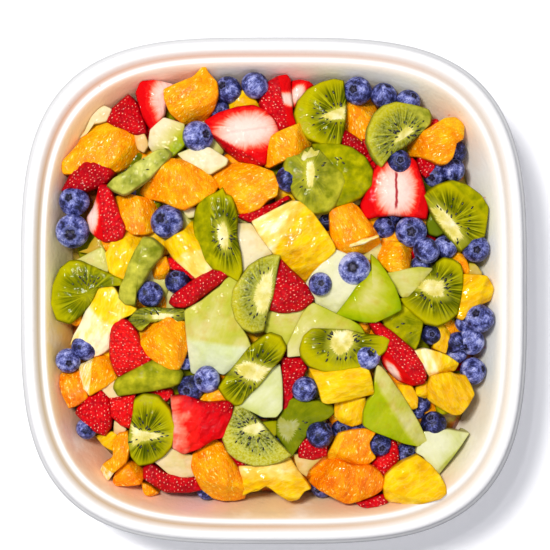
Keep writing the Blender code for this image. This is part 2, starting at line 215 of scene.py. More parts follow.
# A short hand for one material's node tree: most methods add a node and return the socket it ends in.
class Nodes:
    # A new material with its shader.
    def __init__(self, name):
        self.material = bpy.data.materials.new(name)
        self.material.use_nodes = True
        self.tree = self.material.node_tree
        self.shader = self.tree.nodes["Principled BSDF"]

    # A node with its settings, and its sockets fed by name.
    def put(self, kind, settings=None, **sockets):
        made = self.tree.nodes.new(kind)
        for key, value in (settings or {}).items():
            setattr(made, key, value)
        for key, value in sockets.items():
            self.feed(made.inputs[key.replace("_", " ")], value)
        return made

    # A socket is linked, and a plain value is written in.
    def feed(self, socket, value):
        if isinstance(value, bpy.types.NodeSocket):
            self.tree.links.new(value, socket)
        else:
            socket.default_value = value

    # Arithmetic on values or sockets, by the renderer's name for it.
    def math(self, operation, first, second=0.0, third=0.0):
        made = self.put("ShaderNodeMath", {"operation": operation})
        for socket, value in zip(made.inputs, (first, second, third)):
            self.feed(socket, value)
        return made.outputs[0]

    # One value times another, and one less another.
    def times(self, first, second):
        return self.math("MULTIPLY", first, second)

    def minus(self, first, second):
        return self.math("SUBTRACT", first, second)

    # A value times a factor, plus a third.
    def timesPlus(self, value, factor, third):
        return self.math("MULTIPLY_ADD", value, factor, third)

    # What a value has above 0, and what it has below 0.
    def above(self, value):
        return self.math("MAXIMUM", value, 0.0)

    def below(self, value):
        return self.above(self.times(value, -1.0))

    # Arithmetic on vectors, likewise; out names the result that is wanted.
    def vectors(self, operation, *values, out="Vector", **sockets):
        made = self.put("ShaderNodeVectorMath", {"operation": operation}, **sockets)
        for socket, value in zip(made.inputs, values):
            self.feed(socket, value)
        return made.outputs[out]

    # Length and direction of a place given by its two coordinates.
    def polar(self, u, v):
        flat = self.put("ShaderNodeCombineXYZ", X=u, Y=v).outputs[0]
        return self.vectors("LENGTH", flat, out="Value"), self.vectors("NORMALIZE", flat)

    # From the first colour to the second by a share.
    def blend(self, share, first, second, way="MIX"):
        made = self.put("ShaderNodeMix", {"data_type": "RGBA", "blend_type": way}, Factor=share)
        self.feed(made.inputs["A"], first)
        self.feed(made.inputs["B"], second)
        return made.outputs["Result"]

    # A screen colour laid over a tint by a share.
    def stain(self, tint, share, *tone):
        return self.blend(share, tint, colour(*tone))

    # Colours along a value: every stop is a place from 0 to 1 and a linear colour.
    def stops(self, value, stops):
        made = self.put("ShaderNodeValToRGB", Fac=value)
        elements = made.color_ramp.elements
        elements[0].position, elements[0].color = stops[0]
        elements[1].position, elements[1].color = stops[-1]
        for place, tint in stops[1:-1]:
            elements.new(place).color = tint
        return made.outputs["Color"]

    # Every stop is a place and a screen colour.
    def ramp(self, value, *stops):
        return self.stops(value, [(place, colour(*tone)) for place, *tone in stops])

    # Every stop is a place and a share of white.
    def levels(self, value, *stops):
        return self.stops(value, [(place, (level, level, level, 1.0)) for place, level in stops])

    # A smooth step of the value between two limits.
    def step(self, value, low, high):
        made = self.put("ShaderNodeMapRange", {"interpolation_type": "SMOOTHSTEP"}, Value=value)
        made.inputs["From Min"].default_value = low
        made.inputs["From Max"].default_value = high
        return made.outputs["Result"]

    # The values kept at every point of the mesh under a name.
    def kept(self, name):
        return self.put("ShaderNodeAttribute", {"attribute_name": name}).outputs["Vector"]

    # The three numbers of a vector.
    def parts(self, vector):
        return self.put("ShaderNodeSeparateXYZ", Vector=vector).outputs

    # The place on the object in metres.
    def place(self):
        return self.put("ShaderNodeTexCoord").outputs["Object"]

    # A place scaled by axis.
    def stretched(self, vector, scale):
        return self.put("ShaderNodeMapping", Vector=vector, Scale=scale).outputs["Vector"]

    # Cloudy noise around a half.
    def noise(self, vector, scale, detail=3.0, rough=0.5):
        return self.put("ShaderNodeTexNoise", Vector=vector, Scale=scale, Detail=detail,
                        Roughness=rough).outputs["Fac"]

    # Distance to the nearest of scattered points, or to the edge between two.
    def cells(self, vector, scale, feature="F1", random=1.0):
        return self.put("ShaderNodeTexVoronoi", {"feature": feature}, Vector=vector, Scale=scale,
                        Randomness=random).outputs["Distance"]

    # A bumped normal by a height, over another bump if there is one.
    def bump(self, height, distance, strength=1.0, under=None):
        made = self.put("ShaderNodeBump", Height=height, Distance=distance, Strength=strength)
        if under is not None:
            self.feed(made.inputs["Normal"], under)
        return made.outputs["Normal"]

    # The film of juice: its own gentle ripples over whatever lies under it.
    def ripples(self, place, under=None):
        waves = self.noise(place, juice["scale"], juice["detail"])
        return self.bump(waves, juice["depth"], juice["strength"], under)

    # Colour and bump go in as links, and what is alike all over straight on the shader's sockets.
    # The usual values are those of cut fruit; wet is the coat's bump, and film its share of juice.
    def finish(self, tint, normal=None, rough=0.5, gloss=0.0, depth=0.0, reach=(1.0, 1.0, 1.0), wet=None,
               film=1.0):
        sockets = self.shader.inputs
        self.feed(sockets["Base Color"], tint)
        sockets["Roughness"].default_value = rough
        sockets["Specular IOR Level"].default_value = gloss
        sockets["Subsurface Weight"].default_value = depth
        sockets["Subsurface Radius"].default_value = reach
        sockets["Subsurface Scale"].default_value = scatterScale
        if wet is not None:
            even = isinstance(film, float)
            coat = juice["weight"] * film if even else self.times(film, juice["weight"])
            self.feed(sockets["Coat Weight"], coat)
            sockets["Coat Roughness"].default_value = juice["rough"]
            self.feed(sockets["Coat Normal"], wet)
        if normal is not None:
            self.feed(sockets["Normal"], normal)
        return self.material


# An outline drawn through its corners, evenly spaced, and softened by a Gaussian of width soft.
def softOutline(corners, soft, count):
    shape = np.array(corners, dtype=float).reshape(-1, 2)
    turn = np.roll(shape, -1, axis=0)
    area = (shape[:, 0] * turn[:, 1] - shape[:, 1] * turn[:, 0]).sum()
    if area < 0.0:
        shape = shape[::-1]
    closed = np.vstack([shape, shape[:1]])
    along = np.concatenate([[0.0], np.cumsum(np.hypot(*np.diff(closed, axis=0).T))])
    at = np.linspace(0.0, along[-1], count, endpoint=False)
    drawn = np.interp(at, along, closed[:, 0]) + 1j * np.interp(at, along, closed[:, 1])
    pitch = np.fft.fftfreq(count, d=along[-1] / count)
    return np.fft.ifft(np.fft.fft(drawn) * np.exp(-2.0 * (math.pi * pitch * soft) ** 2))


# The middle of an outline, weighted by its area.
def middleOf(outline):
    ahead = np.roll(outline, -1)
    cross = outline.real * ahead.imag - outline.imag * ahead.real
    return ((outline + ahead) * cross).sum() / (3.0 * cross.sum())


# An outline seen from its middle: directions in order, and the reach in each.
def spokesOf(outline, middle):
    spokes = outline - middle
    order = np.argsort(np.angle(spokes))
    return np.angle(spokes)[order], np.abs(spokes)[order]


# Gentle unevenness: three crossed waves whose lengths and directions belong to one piece.
def lumps(x, y, length, key):
    draws = np.random.default_rng(key)
    total = np.zeros_like(x)
    for share in (1.0, 0.6, 0.4):
        turn, phase = draws.uniform(0.0, 2.0 * math.pi, 2)
        along = x * math.cos(turn) + y * math.sin(turn)
        total = total + share * np.sin(along * wholeTurn / (length * share) + phase)
    return total * 0.5


# What every cut piece starts from. plane is the cut that falls away: the direction it looks in,
# how far from the middle it starts, and its slope; facets are chance cuts of the same sort.
baseForm = {
    # shade paints a whole piece in shade, as if it were all side; 0 leaves only the sides.
    "columns": 92, "rows": 19, "shade": 0.0, "soft": 0.55, "thick": 13.0, "dome": 1.2, "lump": 0.35,
    "lumpLength": 14.0, "edge": 0.7, "grow": 0.8, "facets": 0, "facetSlope": 0.4, "lean": (0.0, 0.0),
    "plane": (0.0, 99.0, 0.0), "flare": 0.02, "grain": 0.0, "core": None, "heart": None, "centre": None,
    "seeds": (),
}

# How any piece lies: how closely it follows the heap, what it stays clear of, and its sides, as
# shares of its thickness down; tuck draws the foot in, under and belly shape the underside.
lie = {
    "follow": 0.7, "settle": 0.3, "clear": 0.8, "gap": 0.5, "firstRow": 0.09, "tuck": 0.05, "under": 0.5,
    "belly": 0.6, "sides": (0.12, 0.3, 0.55, 0.8, 0.95, 1.0),
}


# One cut piece: an outline seen from above, its level in the heap, and how its top is shaped.
class Chunk:
    # The outline is spread to its height, softened and grown a little; lift keeps it off the wall.
    def __init__(self, corners, level, form, key, **own):
        self.form = dict(form, **own)
        self.level = level
        self.key = key
        middle = np.array(corners, dtype=float).reshape(-1, 2).mean(axis=0)
        high = domeAt(*middle) + heapForm["level"] * (level + 1.0)
        self.outline = softOutline(spreadOut(corners, high), self.form["soft"], form["columns"])
        self.middle = middleOf(self.outline)
        spokes = self.outline - self.middle
        self.outline = self.outline + form["grow"] * spokes / np.abs(spokes)
        for name in ("core", "heart"):
            if self.form[name]:
                spot = spreadOut(self.form[name][:2], high)[0]
                self.form[name] = (*spot, *self.form[name][2:])
        self.form["seeds"] = spreadOut(self.form["seeds"], high)
        if self.form["centre"]:
            self.form["centre"] = spreadOut(self.form["centre"], high)
        self.luck = np.random.default_rng(key).uniform(0.0, 1.0, 3)
        self.angles, self.reaches = spokesOf(self.outline, self.middle)
        draws = np.random.default_rng(key + 50)
        self.planes = [(draws.uniform(0.0, wholeTurn), draws.uniform(0.25, 0.6) * self.reaches.mean(),
                        form["facetSlope"] * draws.uniform(0.3, 1.0)) for _ in range(form["facets"])]
        self.lift = 0.0
        x, y = self.outline.real, self.outline.imag
        short = (clearHeight(x, y, lie["clear"]) - self.height(x, y)).max()
        self.lift = np.clip(short, 0.0, heapForm["rise"])

    # Places along and across a direction, counted from the piece's middle.
    def turned(self, x, y, turn):
        return turnedTo(x, y, (self.middle.real, self.middle.imag), turn)

    # Share of the way from the middle to the edge, and the distance left to the edge.
    def inwards(self, x, y):
        spoke = x + 1j * y - self.middle
        reach = np.interp(np.angle(spoke), self.angles, self.reaches, period=2.0 * math.pi)
        return np.abs(spoke) / reach, reach - np.abs(spoke)

    # Top height: the heap's level, a crown, lumps, a rounded edge and cuts that fall away.
    def height(self, x, y):
        form = self.form
        share, left = self.inwards(x, y)
        share = np.clip(share, 0.0, 1.0)
        base = domeAt(self.middle.real, self.middle.imag)
        z = lie["follow"] * domeAt(x, y) + lie["settle"] * base + heapForm["level"] * (self.level + 1.0)
        leanX, leanY = form["lean"]
        z = z + leanX * (x - self.middle.real) + leanY * (y - self.middle.imag)
        z = z - form["dome"] * (1.0 - np.sqrt(np.clip(1.0 - share ** 2, 0.0, 1.0)))
        z = z + form["lump"] * lumps(x, y, form["lumpLength"], self.key)
        outward = (x - self.middle.real) * self.middle.real + (y - self.middle.imag) * self.middle.imag
        outward = outward / max(abs(self.middle), 1.0) / self.reaches.max()
        z = z + self.lift * np.clip(0.6 + 0.5 * outward, 0.0, 1.0)
        inside = np.clip(1.0 - left / form["edge"], 0.0, 1.0)
        z = z - form["edge"] * (1.0 - np.sqrt(1.0 - inside ** 2))
        for turn, start, slope in self.planes:
            z = z - slope * np.maximum(self.turned(x, y, turn)[0] - start, 0.0)
        return z - form["plane"][2] * np.maximum(self.beyondCut(x, y), 0.0)

    # Distance beyond the line where the cut plane starts, along the cut's direction.
    def beyondCut(self, x, y):
        turn, start, _ = self.form["plane"]
        return self.turned(x, y, math.radians(turn))[0] - start

    # Rows of points: the top from the middle outwards, then the side, then the underside.
    def skin(self):
        form = self.form
        topRows = 1.0 - (1.0 - np.linspace(lie["firstRow"], 1.0, form["rows"])) ** 1.5
        spokes = self.outline - self.middle
        flat = self.middle + topRows[:, None] * spokes[None, :]
        top = self.height(flat.real, flat.imag)
        down = np.array(lie["sides"])
        swell = 1.0 + form["flare"] * np.sin(math.pi * np.minimum(down, 0.9)) - lie["tuck"] * down ** 6
        side = self.middle + swell[:, None] * spokes[None, :]
        sideTop = top[-1][None, :] - form["thick"] * down[:, None]
        under = self.middle + lie["under"] * spokes[None, :]
        underTop = np.full((1, len(spokes)), sideTop[-1].mean() - lie["belly"])
        plan = np.concatenate([flat, side, under])
        z = np.concatenate([top, sideTop, underTop])
        # beside is how far down the side a point lies; the materials paint the sides darker by it, as shade.
        beside = np.concatenate([np.zeros(len(topRows)), np.minimum(down * 4.0, 1.0), [1.0]])
        beside = np.maximum(beside, form["shade"])
        share = np.concatenate([topRows, np.ones(len(down)), [lie["under"]]])
        grid = np.stack([plan.real, plan.imag, z], axis=-1)
        return grid, beside, share

    # The points that close the skin: its middle on top, and underneath.
    def tips(self):
        grid, _, _ = self.skin()
        x, y = self.middle.real, self.middle.imag
        top = self.height(np.array([x]), np.array([y]))[0]
        return np.array([x, y, top]), np.array([x, y, grid[-1, :, 2].mean()])


# Draws points in from the wall wherever they would pass through it.
def keepInside(points, gap):
    x, y, z = points[..., 0], points[..., 1], points[..., 2]
    low = z < bowlHeight - bowl["wallDrop"]
    reach = wallReach(x, y, z, gap)
    away = np.maximum(np.hypot(x, y), 1e-6)
    scale = np.where(low & (away > reach), reach / away, 1.0)
    moved = points.copy()
    moved[..., 0] *= scale
    moved[..., 1] *= scale
    moved[..., 2] = np.clip(moved[..., 2], bowl["fibre"] + 0.5, heapTop - 0.1)
    return moved


# Many pieces drawn in from the wall and closed as one set of skins.
def closedInside(grids, tops, bottoms, values, gap):
    kept = [keepInside(np.array(part), gap) for part in (grids, tops, bottoms)]
    return closedSkins(*kept, {key: np.array(value) for key, value in values.items()})


# Pieces of one kind joined into one mesh, with what their pattern needs kept at every point.
def buildKind(name, groups, pattern, material):
    made = []
    start = 0
    for chunks in groups:
        skins = [chunk.skin() for chunk in chunks]
        tops, bottoms = zip(*[chunk.tips() for chunk in chunks])
        local, marks = zip(*[pattern(chunk, *skin) for chunk, skin in zip(chunks, skins)])
        values = {"local": local, "marks": marks}
        skins = closedInside([skin[0] for skin in skins], tops, bottoms, values, lie["gap"])
        points, quads, fans, values = skins
        made.append((points, quads + start, fans + start, values["local"], values["marks"]))
        start += len(points)
    points, quads, fans, local, marks = [np.concatenate(part) for part in zip(*made)]
    return meshPiece(name, (points, quads, fans, {"local": local, "marks": marks}), material)


# The usual pattern: place on the piece in mm along its own grain, and marks for cut, share and luck;
# share grows down the side, and the materials paint shade by it.
def plainPattern(chunk, grid, beside, share):
    u, v = chunk.turned(grid[..., 0], grid[..., 1], math.radians(chunk.form["grain"]))
    local = np.stack([u, v, grid[..., 2] + chunk.luck[1] * 90.0], axis=-1)
    cut = np.clip(chunk.beyondCut(grid[..., 0], grid[..., 1]) / 0.8 + 0.5, 0.0, 1.0)
    edge = np.broadcast_to((share + 0.5 * beside)[:, None], cut.shape)
    return local, np.stack([cut, edge, np.full(cut.shape, chunk.luck[0])], axis=-1)


# Chunks from a table's rows: outline, level, and the row's own settings where it has any.
def chunksFrom(table, form, seed):
    return [Chunk(outline, level, form, seed + at, **(own[0] if own else {}))
            for at, (outline, level, *own) in enumerate(table)]


# Even places over the heap, shaken, kept inside a superellipse and dealt out in turn to the kinds.
fill = {
    "pitch": 15.0, "places": 16, "shake": 3.0, "reach": 101.0, "square": 3.5, "kinds": 7,
    # The fillers' blocks are painted in shade all over.
    "block": {"columns": 30, "rows": 6, "shade": 0.85}, "tilt": 0.12,
}
fillLine = (np.arange(fill["places"]) - 0.5 * (fill["places"] - 1)) * fill["pitch"]
fillX, fillY = np.meshgrid(fillLine, fillLine)
fillAt = np.stack([fillX.ravel(), fillY.ravel()], axis=1)
fillAt = fillAt + random.uniform(-fill["shake"], fill["shake"], fillAt.shape)
fillAway = np.hypot(*fillAt.T)
fillReach = reachOf(fillAt[:, 0] / fillAway, fillAt[:, 1] / fillAway, fill["reach"], fill["square"])
fillAt = random.permutation(fillAt[fillReach > fillAway])
print("places for filler", len(fillAt))


# The places that fall to one kind.
def shared(first):
    return fillAt[first::fill["kinds"]]


# Chunks for the gaps: blocks of five or six corners at their places, under the ones that show.
def filler(form, level, size, seed, places):
    draws = np.random.default_rng(seed)
    block = dict(form, **fill["block"])
    made = []
    for at, (x, y) in enumerate(places):
        count = draws.integers(5, 7)
        turns = draws.uniform(0.0, wholeTurn) + np.arange(count) * wholeTurn / count
        turns = turns + draws.uniform(-0.25, 0.25, count)
        reach = size * draws.uniform(0.75, 1.2, count)
        corners = np.stack([x + reach * np.cos(turns), y + reach * np.sin(turns)], axis=1)
        made.append(Chunk(corners, level + draws.uniform(-0.5, 0.4), block, seed + at,
                          grain=draws.uniform(0.0, 180.0),
                          lean=tuple(draws.uniform(-fill["tilt"], fill["tilt"], 2))))
    return made


# Small stains on the fibre: x, y, size and colour.
stains = [
    (98.0, 98.0, 0.6, (232, 130, 40)), (118.0, 52.0, 0.5, (226, 120, 50)),
    (-113.0, 102.5, 0.4, (190, 110, 70)), (103.0, 99.0, 0.3, (240, 170, 80)),
    (118.5, -32.0, 0.7, (214, 96, 120)), (-96.0, 113.0, 0.4, (200, 130, 80)),
]


# Moulded fibre: half is the share of the half width. Colours go round the wall by angle and are
# painted light there, the fruit's reflected glow and a lightening where the wall lies in shade;
# painted shade darkens the groove and the wall's top under the bead, and greys the rim towards the
# lip's edge, most on the side away from the key light; stains, the plain outside and loose strands
# lie over them.
def fibreMaterial():
    n = Nodes("moulded_fibre")
    half, _, outside = n.parts(n.kept("local"))
    place = n.place()
    east, north, _ = n.parts(place)
    wide = n.noise(place, 26.0, 4.0, 0.6)
    pulp = n.noise(place, 420.0, 6.0, 0.62)
    strands = n.noise(n.stretched(place, (900.0, 300.0, 500.0)), 1.0, 3.0)
    angle = n.math("ARCTAN2", north, east)
    around = n.math("FRACT", n.timesPlus(angle, 0.5 / math.pi, n.timesPlus(wide, 0.08, 0.96)))
    # Painted light: the fruit's reflected orange and peach glow on the wall, lighter where it lies in shade.
    wall = n.ramp(around, (0.0, 250, 248, 238), (0.08, 248, 244, 236), (0.115, 244, 218, 188),
                  (0.16, 252, 248, 228), (0.21, 255, 248, 232), (0.25, 255, 226, 214),
                  (0.29, 255, 250, 236), (0.34, 255, 204, 168), (0.39, 255, 222, 164),
                  (0.44, 240, 208, 182), (0.48, 255, 246, 184), (0.53, 255, 222, 126),
                  (0.60, 234, 186, 162), (0.65, 244, 196, 146), (0.69, 240, 192, 182),
                  (0.72, 222, 194, 154), (0.75, 242, 212, 158), (0.80, 232, 196, 158),
                  (0.83, 236, 184, 134), (0.88, 236, 224, 196), (0.94, 234, 233, 221), (1.0, 250, 248, 238))
    wall = n.stain(wall, n.times(n.step(wide, 0.5, 0.72), 0.5), 255, 250, 242)
    # Painted shade: tan laid into the groove, and a fainter band along the wall's top under the bead.
    tan = n.ramp(around, (0.0, 222, 212, 198), (0.12, 206, 190, 176), (0.25, 206, 172, 156),
                 (0.38, 196, 150, 124), (0.47, 166, 148, 116), (0.56, 176, 156, 126), (0.75, 204, 170, 140),
                 (0.9, 222, 208, 190), (1.0, 222, 212, 198))
    groove = n.levels(half, (0.0, 0.0), (0.87, 0.0), (0.886, 0.4), (0.897, 0.55), (0.903, 0.0),
                      (0.912, 0.0), (0.922, 0.8), (0.930, 1.0), (0.939, 0.6), (0.951, 0.0), (1.0, 0.0))
    onWall = n.step(half, 0.901, 0.890)
    # Painted shade: the rim greys towards the lip's edge, and more on the side away from the key light.
    rim = n.ramp(half, (0.0, 250, 244, 238), (0.90, 250, 246, 240), (0.95, 240, 238, 237),
                 (0.978, 244, 243, 243), (0.984, 236, 235, 236), (0.991, 222, 222, 222),
                 (0.996, 206, 206, 207), (1.0, 206, 206, 208))
    edgeShade = n.ramp(half, (0.0, 255, 255, 255), (0.972, 255, 255, 255), (0.984, 206, 206, 208),
                 (0.990, 226, 226, 227), (1.0, 196, 196, 200))
    leeShade = n.levels(around, (0.0, 0.9), (0.12, 0.3), (0.25, 0.0), (0.5, 0.0), (0.62, 0.3), (0.8, 1.0),
                   (1.0, 0.9))
    rim = n.blend(leeShade, rim, edgeShade, "MULTIPLY")
    tint = n.blend(onWall, rim, wall)
    tint = n.blend(groove, tint, tan)
    flatPlace = n.stretched(place, (1.0, 1.0, 0.0))
    for x, y, size, tone in stains:
        away = n.vectors("DISTANCE", flatPlace, (x * mm, y * mm, 0.0), out="Value")
        ragged = n.timesPlus(pulp, 0.0012, away)
        inside = n.step(ragged, (size + 0.9) * mm, (size * 0.4 + 0.5) * mm)
        tint = n.stain(tint, n.times(inside, 0.6), *tone)
    tint = n.stain(tint, n.step(outside, 0.4, 0.6), 240, 238, 236)
    tint = n.stain(tint, n.times(n.step(strands, 0.62, 0.75), 0.10), 188, 170, 150)
    normal = n.bump(pulp, 0.0006, 0.55)
    return n.finish(tint, normal, rough=0.82, gloss=0.25)


# The tray's cross-section swept around: rows along the profile, columns by angle, inside then out.
def makeTray():
    b = bowl
    rim = innerProfile()
    path = np.vstack([rim, [[0.9 * rim[-1, 0], b["fibre"]], [4.0, b["fibre"]]]])
    along = np.concatenate([[0.0], np.cumsum(np.hypot(*np.diff(path, axis=0).T))])
    bendEnd = along[-3]
    at = np.concatenate([np.arange(0.0, bendEnd, b["step"]),
                         np.linspace(bendEnd, along[-1], b["floorRows"])])
    line = np.stack([np.interp(at, along, path[:, 0]), np.interp(at, along, path[:, 1])], axis=1)
    for _ in range(3):
        line[2:-9] = 0.25 * line[1:-10] + 0.5 * line[2:-9] + 0.25 * line[3:-8]
    ahead = np.gradient(line, axis=0)
    ahead /= np.linalg.norm(ahead, axis=1)[:, None]
    outward = np.stack([-ahead[:, 1], ahead[:, 0]], axis=1)
    outer = line + outward * b["fibre"]
    outer[:, 1] = np.maximum(outer[:, 1], 0.0)
    outer[0] = line[0] + np.array([0.0, -b["fibre"]])
    outer[:, 0] = np.minimum(outer[:, 0], bowlHalf)
    flat = outer[:, 1] < 0.02
    outer[flat, 1] = 0.0
    turns = np.arange(b["columns"]) * 2.0 * math.pi / b["columns"]
    cosine, sine = np.cos(turns), np.sin(turns)

    # Rows of points all round, from half widths and heights.
    def swept(profile):
        reach = reachOf(cosine[None], sine[None], profile[:, :1], squareAt(profile[:, 1:2]))
        high = np.broadcast_to(profile[:, 1:2], reach.shape)
        return np.stack([reach * cosine, reach * sine, high], axis=-1)

    grid = np.concatenate([swept(line[::-1]), swept(outer)])
    rows = np.concatenate([line[::-1], outer])
    side = np.concatenate([np.zeros(len(line)), np.ones(len(outer))])
    side[len(line)] = 0.0
    local = np.stack([rows[:, 0] / bowlHalf, rows[:, 1] / bowlHeight, side], axis=1)
    local = np.broadcast_to(local[:, None, :], grid.shape)
    waver = b["waver"] * lumps(grid[..., 0], grid[..., 1], b["waverLength"], 3) * (local[..., 0] > 0.96)
    grid[..., 2] = np.clip(grid[..., 2] + waver, 0.0, bowlHeight)
    top = np.array([[0.0, 0.0, b["fibre"]]])
    bottom = np.array([[0.0, 0.0, 0.0]])
    skins = closedSkins(grid[None], top, bottom, {"local": local[None]})
    tray = meshPiece("fibre_tray", skins, fibreMaterial())
    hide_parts("fibre_bowl")


makeTray()


# The heap's inside, seen only down the gaps: columns round it, rows from its middle to its edge,
# whose half width is the wall's at height high less gap; it lies sunk under the heap's level.
coreForm = {
    "columns": 180, "rows": 40, "first": 0.06, "last": 0.985, "high": 48.0, "gap": 2.2, "square": 3.4,
    "sunk": 8.5, "lump": 1.6, "lumpLength": 19.0, "roll": 5.0, "rollFrom": 0.93, "rollOver": 0.055,
    "sideRows": 9, "above": 1.0, "under": 0.5,
}


# Pulp in darkened colours of the fruit over it: painted shade for fruit lying deep in the gaps.
def coreMaterial():
    n = Nodes("shaded_fruit_pulp")
    place = n.place()
    big = n.noise(place, 75.0, 2.0)
    tint = n.ramp(big, (0.3, 120, 30, 12), (0.45, 176, 92, 14), (0.55, 150, 132, 20), (0.7, 196, 150, 60))
    return n.finish(tint, n.bump(n.noise(place, 240.0, 4.0), 0.001, 0.8), rough=0.28, gloss=0.5)


# The core: rings by share of the way to the wall, domed on top, closed underneath above the floor.
def makeCore():
    c = coreForm
    turns = np.arange(c["columns"]) * 2.0 * math.pi / c["columns"]
    cosine, sine = np.cos(turns)[None], np.sin(turns)[None]
    shares = np.linspace(c["first"], c["last"], c["rows"])[:, None]
    edge = reachOf(cosine, sine, wallAt(c["high"]) - c["gap"], c["square"])
    x, y = shares * edge * cosine, shares * edge * sine
    high = domeAt(x, y) - c["sunk"] + c["lump"] * lumps(x, y, c["lumpLength"], 5)
    high = high - c["roll"] * np.clip((shares - c["rollFrom"]) / c["rollOver"], 0.0, 1.0) ** 2
    top = np.stack([x, y, high], axis=-1)
    steps = np.linspace(0.0, 1.0, c["sideRows"])[1:, None]
    low = bowl["fibre"] + c["above"]
    z = top[-1, :, 2][None] * (1.0 - steps) + low * steps
    reach = reachOf(cosine, sine, wallAt(z) - c["gap"], squareAt(z))
    reach = np.minimum(reach, np.hypot(x[-1], y[-1])[None])
    side = np.stack([reach * cosine, reach * sine, z], axis=-1)
    under = side[-1:] * np.array([c["under"], c["under"], 1.0])
    grid = np.concatenate([top, side, under])
    peak = np.array([[0.0, 0.0, high[0].mean()]])
    base = np.array([[0.0, 0.0, low]])
    core = meshPiece("fruit_core", closedSkins(grid[None], peak, base, {}), coreMaterial())
    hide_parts("fruit_heap")


makeCore()


# Blueberries: middle x and y, width, level, and where the crown looks, as x and y of its direction.
blueberries = [
    (-25.5, 110, 15.5, 2, -0.45, 0.3), (-30, 99, 12, 0, 0.3, -0.8), (-10.5, 112, 15.5, 2, 0.8, 0.7),
    (-42, 84.5, 17.5, 3, 0.62, 0.1), (8, 61, 14.5, 3, 0.62, 0.3), (46, 109.5, 16, 2, -0.4, 0.05),
    (60.5, 107, 15, 1, 0.3, 0.75), (75, 105, 14, 0, 0.5, 0.5), (69, 70.5, 13.5, 3, 0.05, 0.12),
    (100, 76, 14, 0, -0.3, -0.6), (88.5, 63, 14, 0, -0.4, -0.3), (98.4, 66, 14, 1, 0.3, 0.7),
    (-110, 48.5, 17, 1, -0.3, 0.25), (-110.5, 32, 19, 2, -0.05, -0.3), (-59, 37.5, 18.5, 3, -0.5, 0.25),
    (-53.5, 4.5, 13.8, 2, -0.1, 0.7), (-68.5, -2.5, 15, 2, 0.6, 0.55), (29, 38, 13, -1, -0.1, 0.2),
    (60.5, 34, 12.5, 0, 0.6, 0.5), (75.5, 32, 17.5, 2, -0.05, -0.05), (84, 21.5, 15, 3, -0.7, -0.7),
    (94.5, 23.5, 13.5, 1, 0.2, 0.7), (111, 22.5, 15.5, 2, 0.0, -0.1), (81, 13.5, 11, 0, 0.4, 0.7),
    (44, 11.5, 18.5, 4, -0.15, 0.12), (25.5, 3, 13, 4, 0.05, 0.1), (-104.5, -32, 15, 2, 0.65, 0.6),
    (-115, -39.5, 13.8, 1, 0.2, -0.2), (-104.5, -77.5, 12, -1, 0.8, 0.5), (-37, -49.5, 15, 3, -0.62, -0.1),
    (-46, -54.5, 14.5, 2, -0.35, -0.2), (-49, -40, 9, 0, 0.2, 0.7), (51, -36.5, 15.5, 4, 0.35, 0.3),
    (17, -39, 12, -1, 0.5, 0.1), (17, -55, 14.5, 3, 0.8, -0.5), (86.5, -25, 11, 1, 0.05, 0.1),
    (113.5, -16, 16.5, 3, -0.38, 0.42), (105, -18.5, 11, 1, 0.1, 0.8), (108.5, -28.5, 15.5, 2, -0.6, -0.5),
    (101, -29.6, 13, 1, 0.5, -0.7), (100.6, -34.6, 12.5, 0, -0.7, 0.3), (109.7, -45, 15, 2, 0.8, 0.2),
    (81.5, -63, 10, 0, 0.3, 0.6), (79, -67.5, 8, 0, -0.5, 0.3), (88, -74, 14.5, 2, -0.35, 0.6),
    (25, -80, 15.5, 3, 0.75, 0.6), (37.5, -77, 12, 0, 0.1, 0.1), (48, -77, 12, 0, -0.2, 0.5),
    (58.3, -85.5, 13, 2, 0.2, -0.3), (73, -90, 12, 0, 0.4, 0.3), (-37, -109.5, 12, -3, 0.3, 0.5),
    (26, -108.5, 12, -3, -0.4, -0.2),
]
# One berry in radii and radians: its crown's lip with lobes round a well, and the dip outside it.
berry = {
    "rows": 30, "crownRows": 13, "columns": 27, "squash": 0.94, "crownOut": 0.42, "crownLip": 0.35,
    "lipRise": 0.045, "well": 0.16, "dip": 0.05, "lobes": 5, "lobeDepth": 0.42, "large": 1.45, "gap": 0.4,
}
# How much more or less bloom than usual, by the berry's row in the table: above 0 it lightens the
# whole berry and below 0 darkens it, and for the berries by the left wall it is painted light
# against the wall's shade.
bloomAndLightShift = {3: 0.04, 5: -0.06, 6: -0.07, 8: -0.10, 9: -0.08, 11: -0.06, 12: 0.08, 13: 0.08, 14: 0.06, 18:
              -0.08, 22: 0.05, 24: 0.06, 35: -0.06, 37: -0.05, 42: -0.06, 44: -0.06, 46: -0.06, 48: -0.06,
              49: -0.06, 51: 0.06}


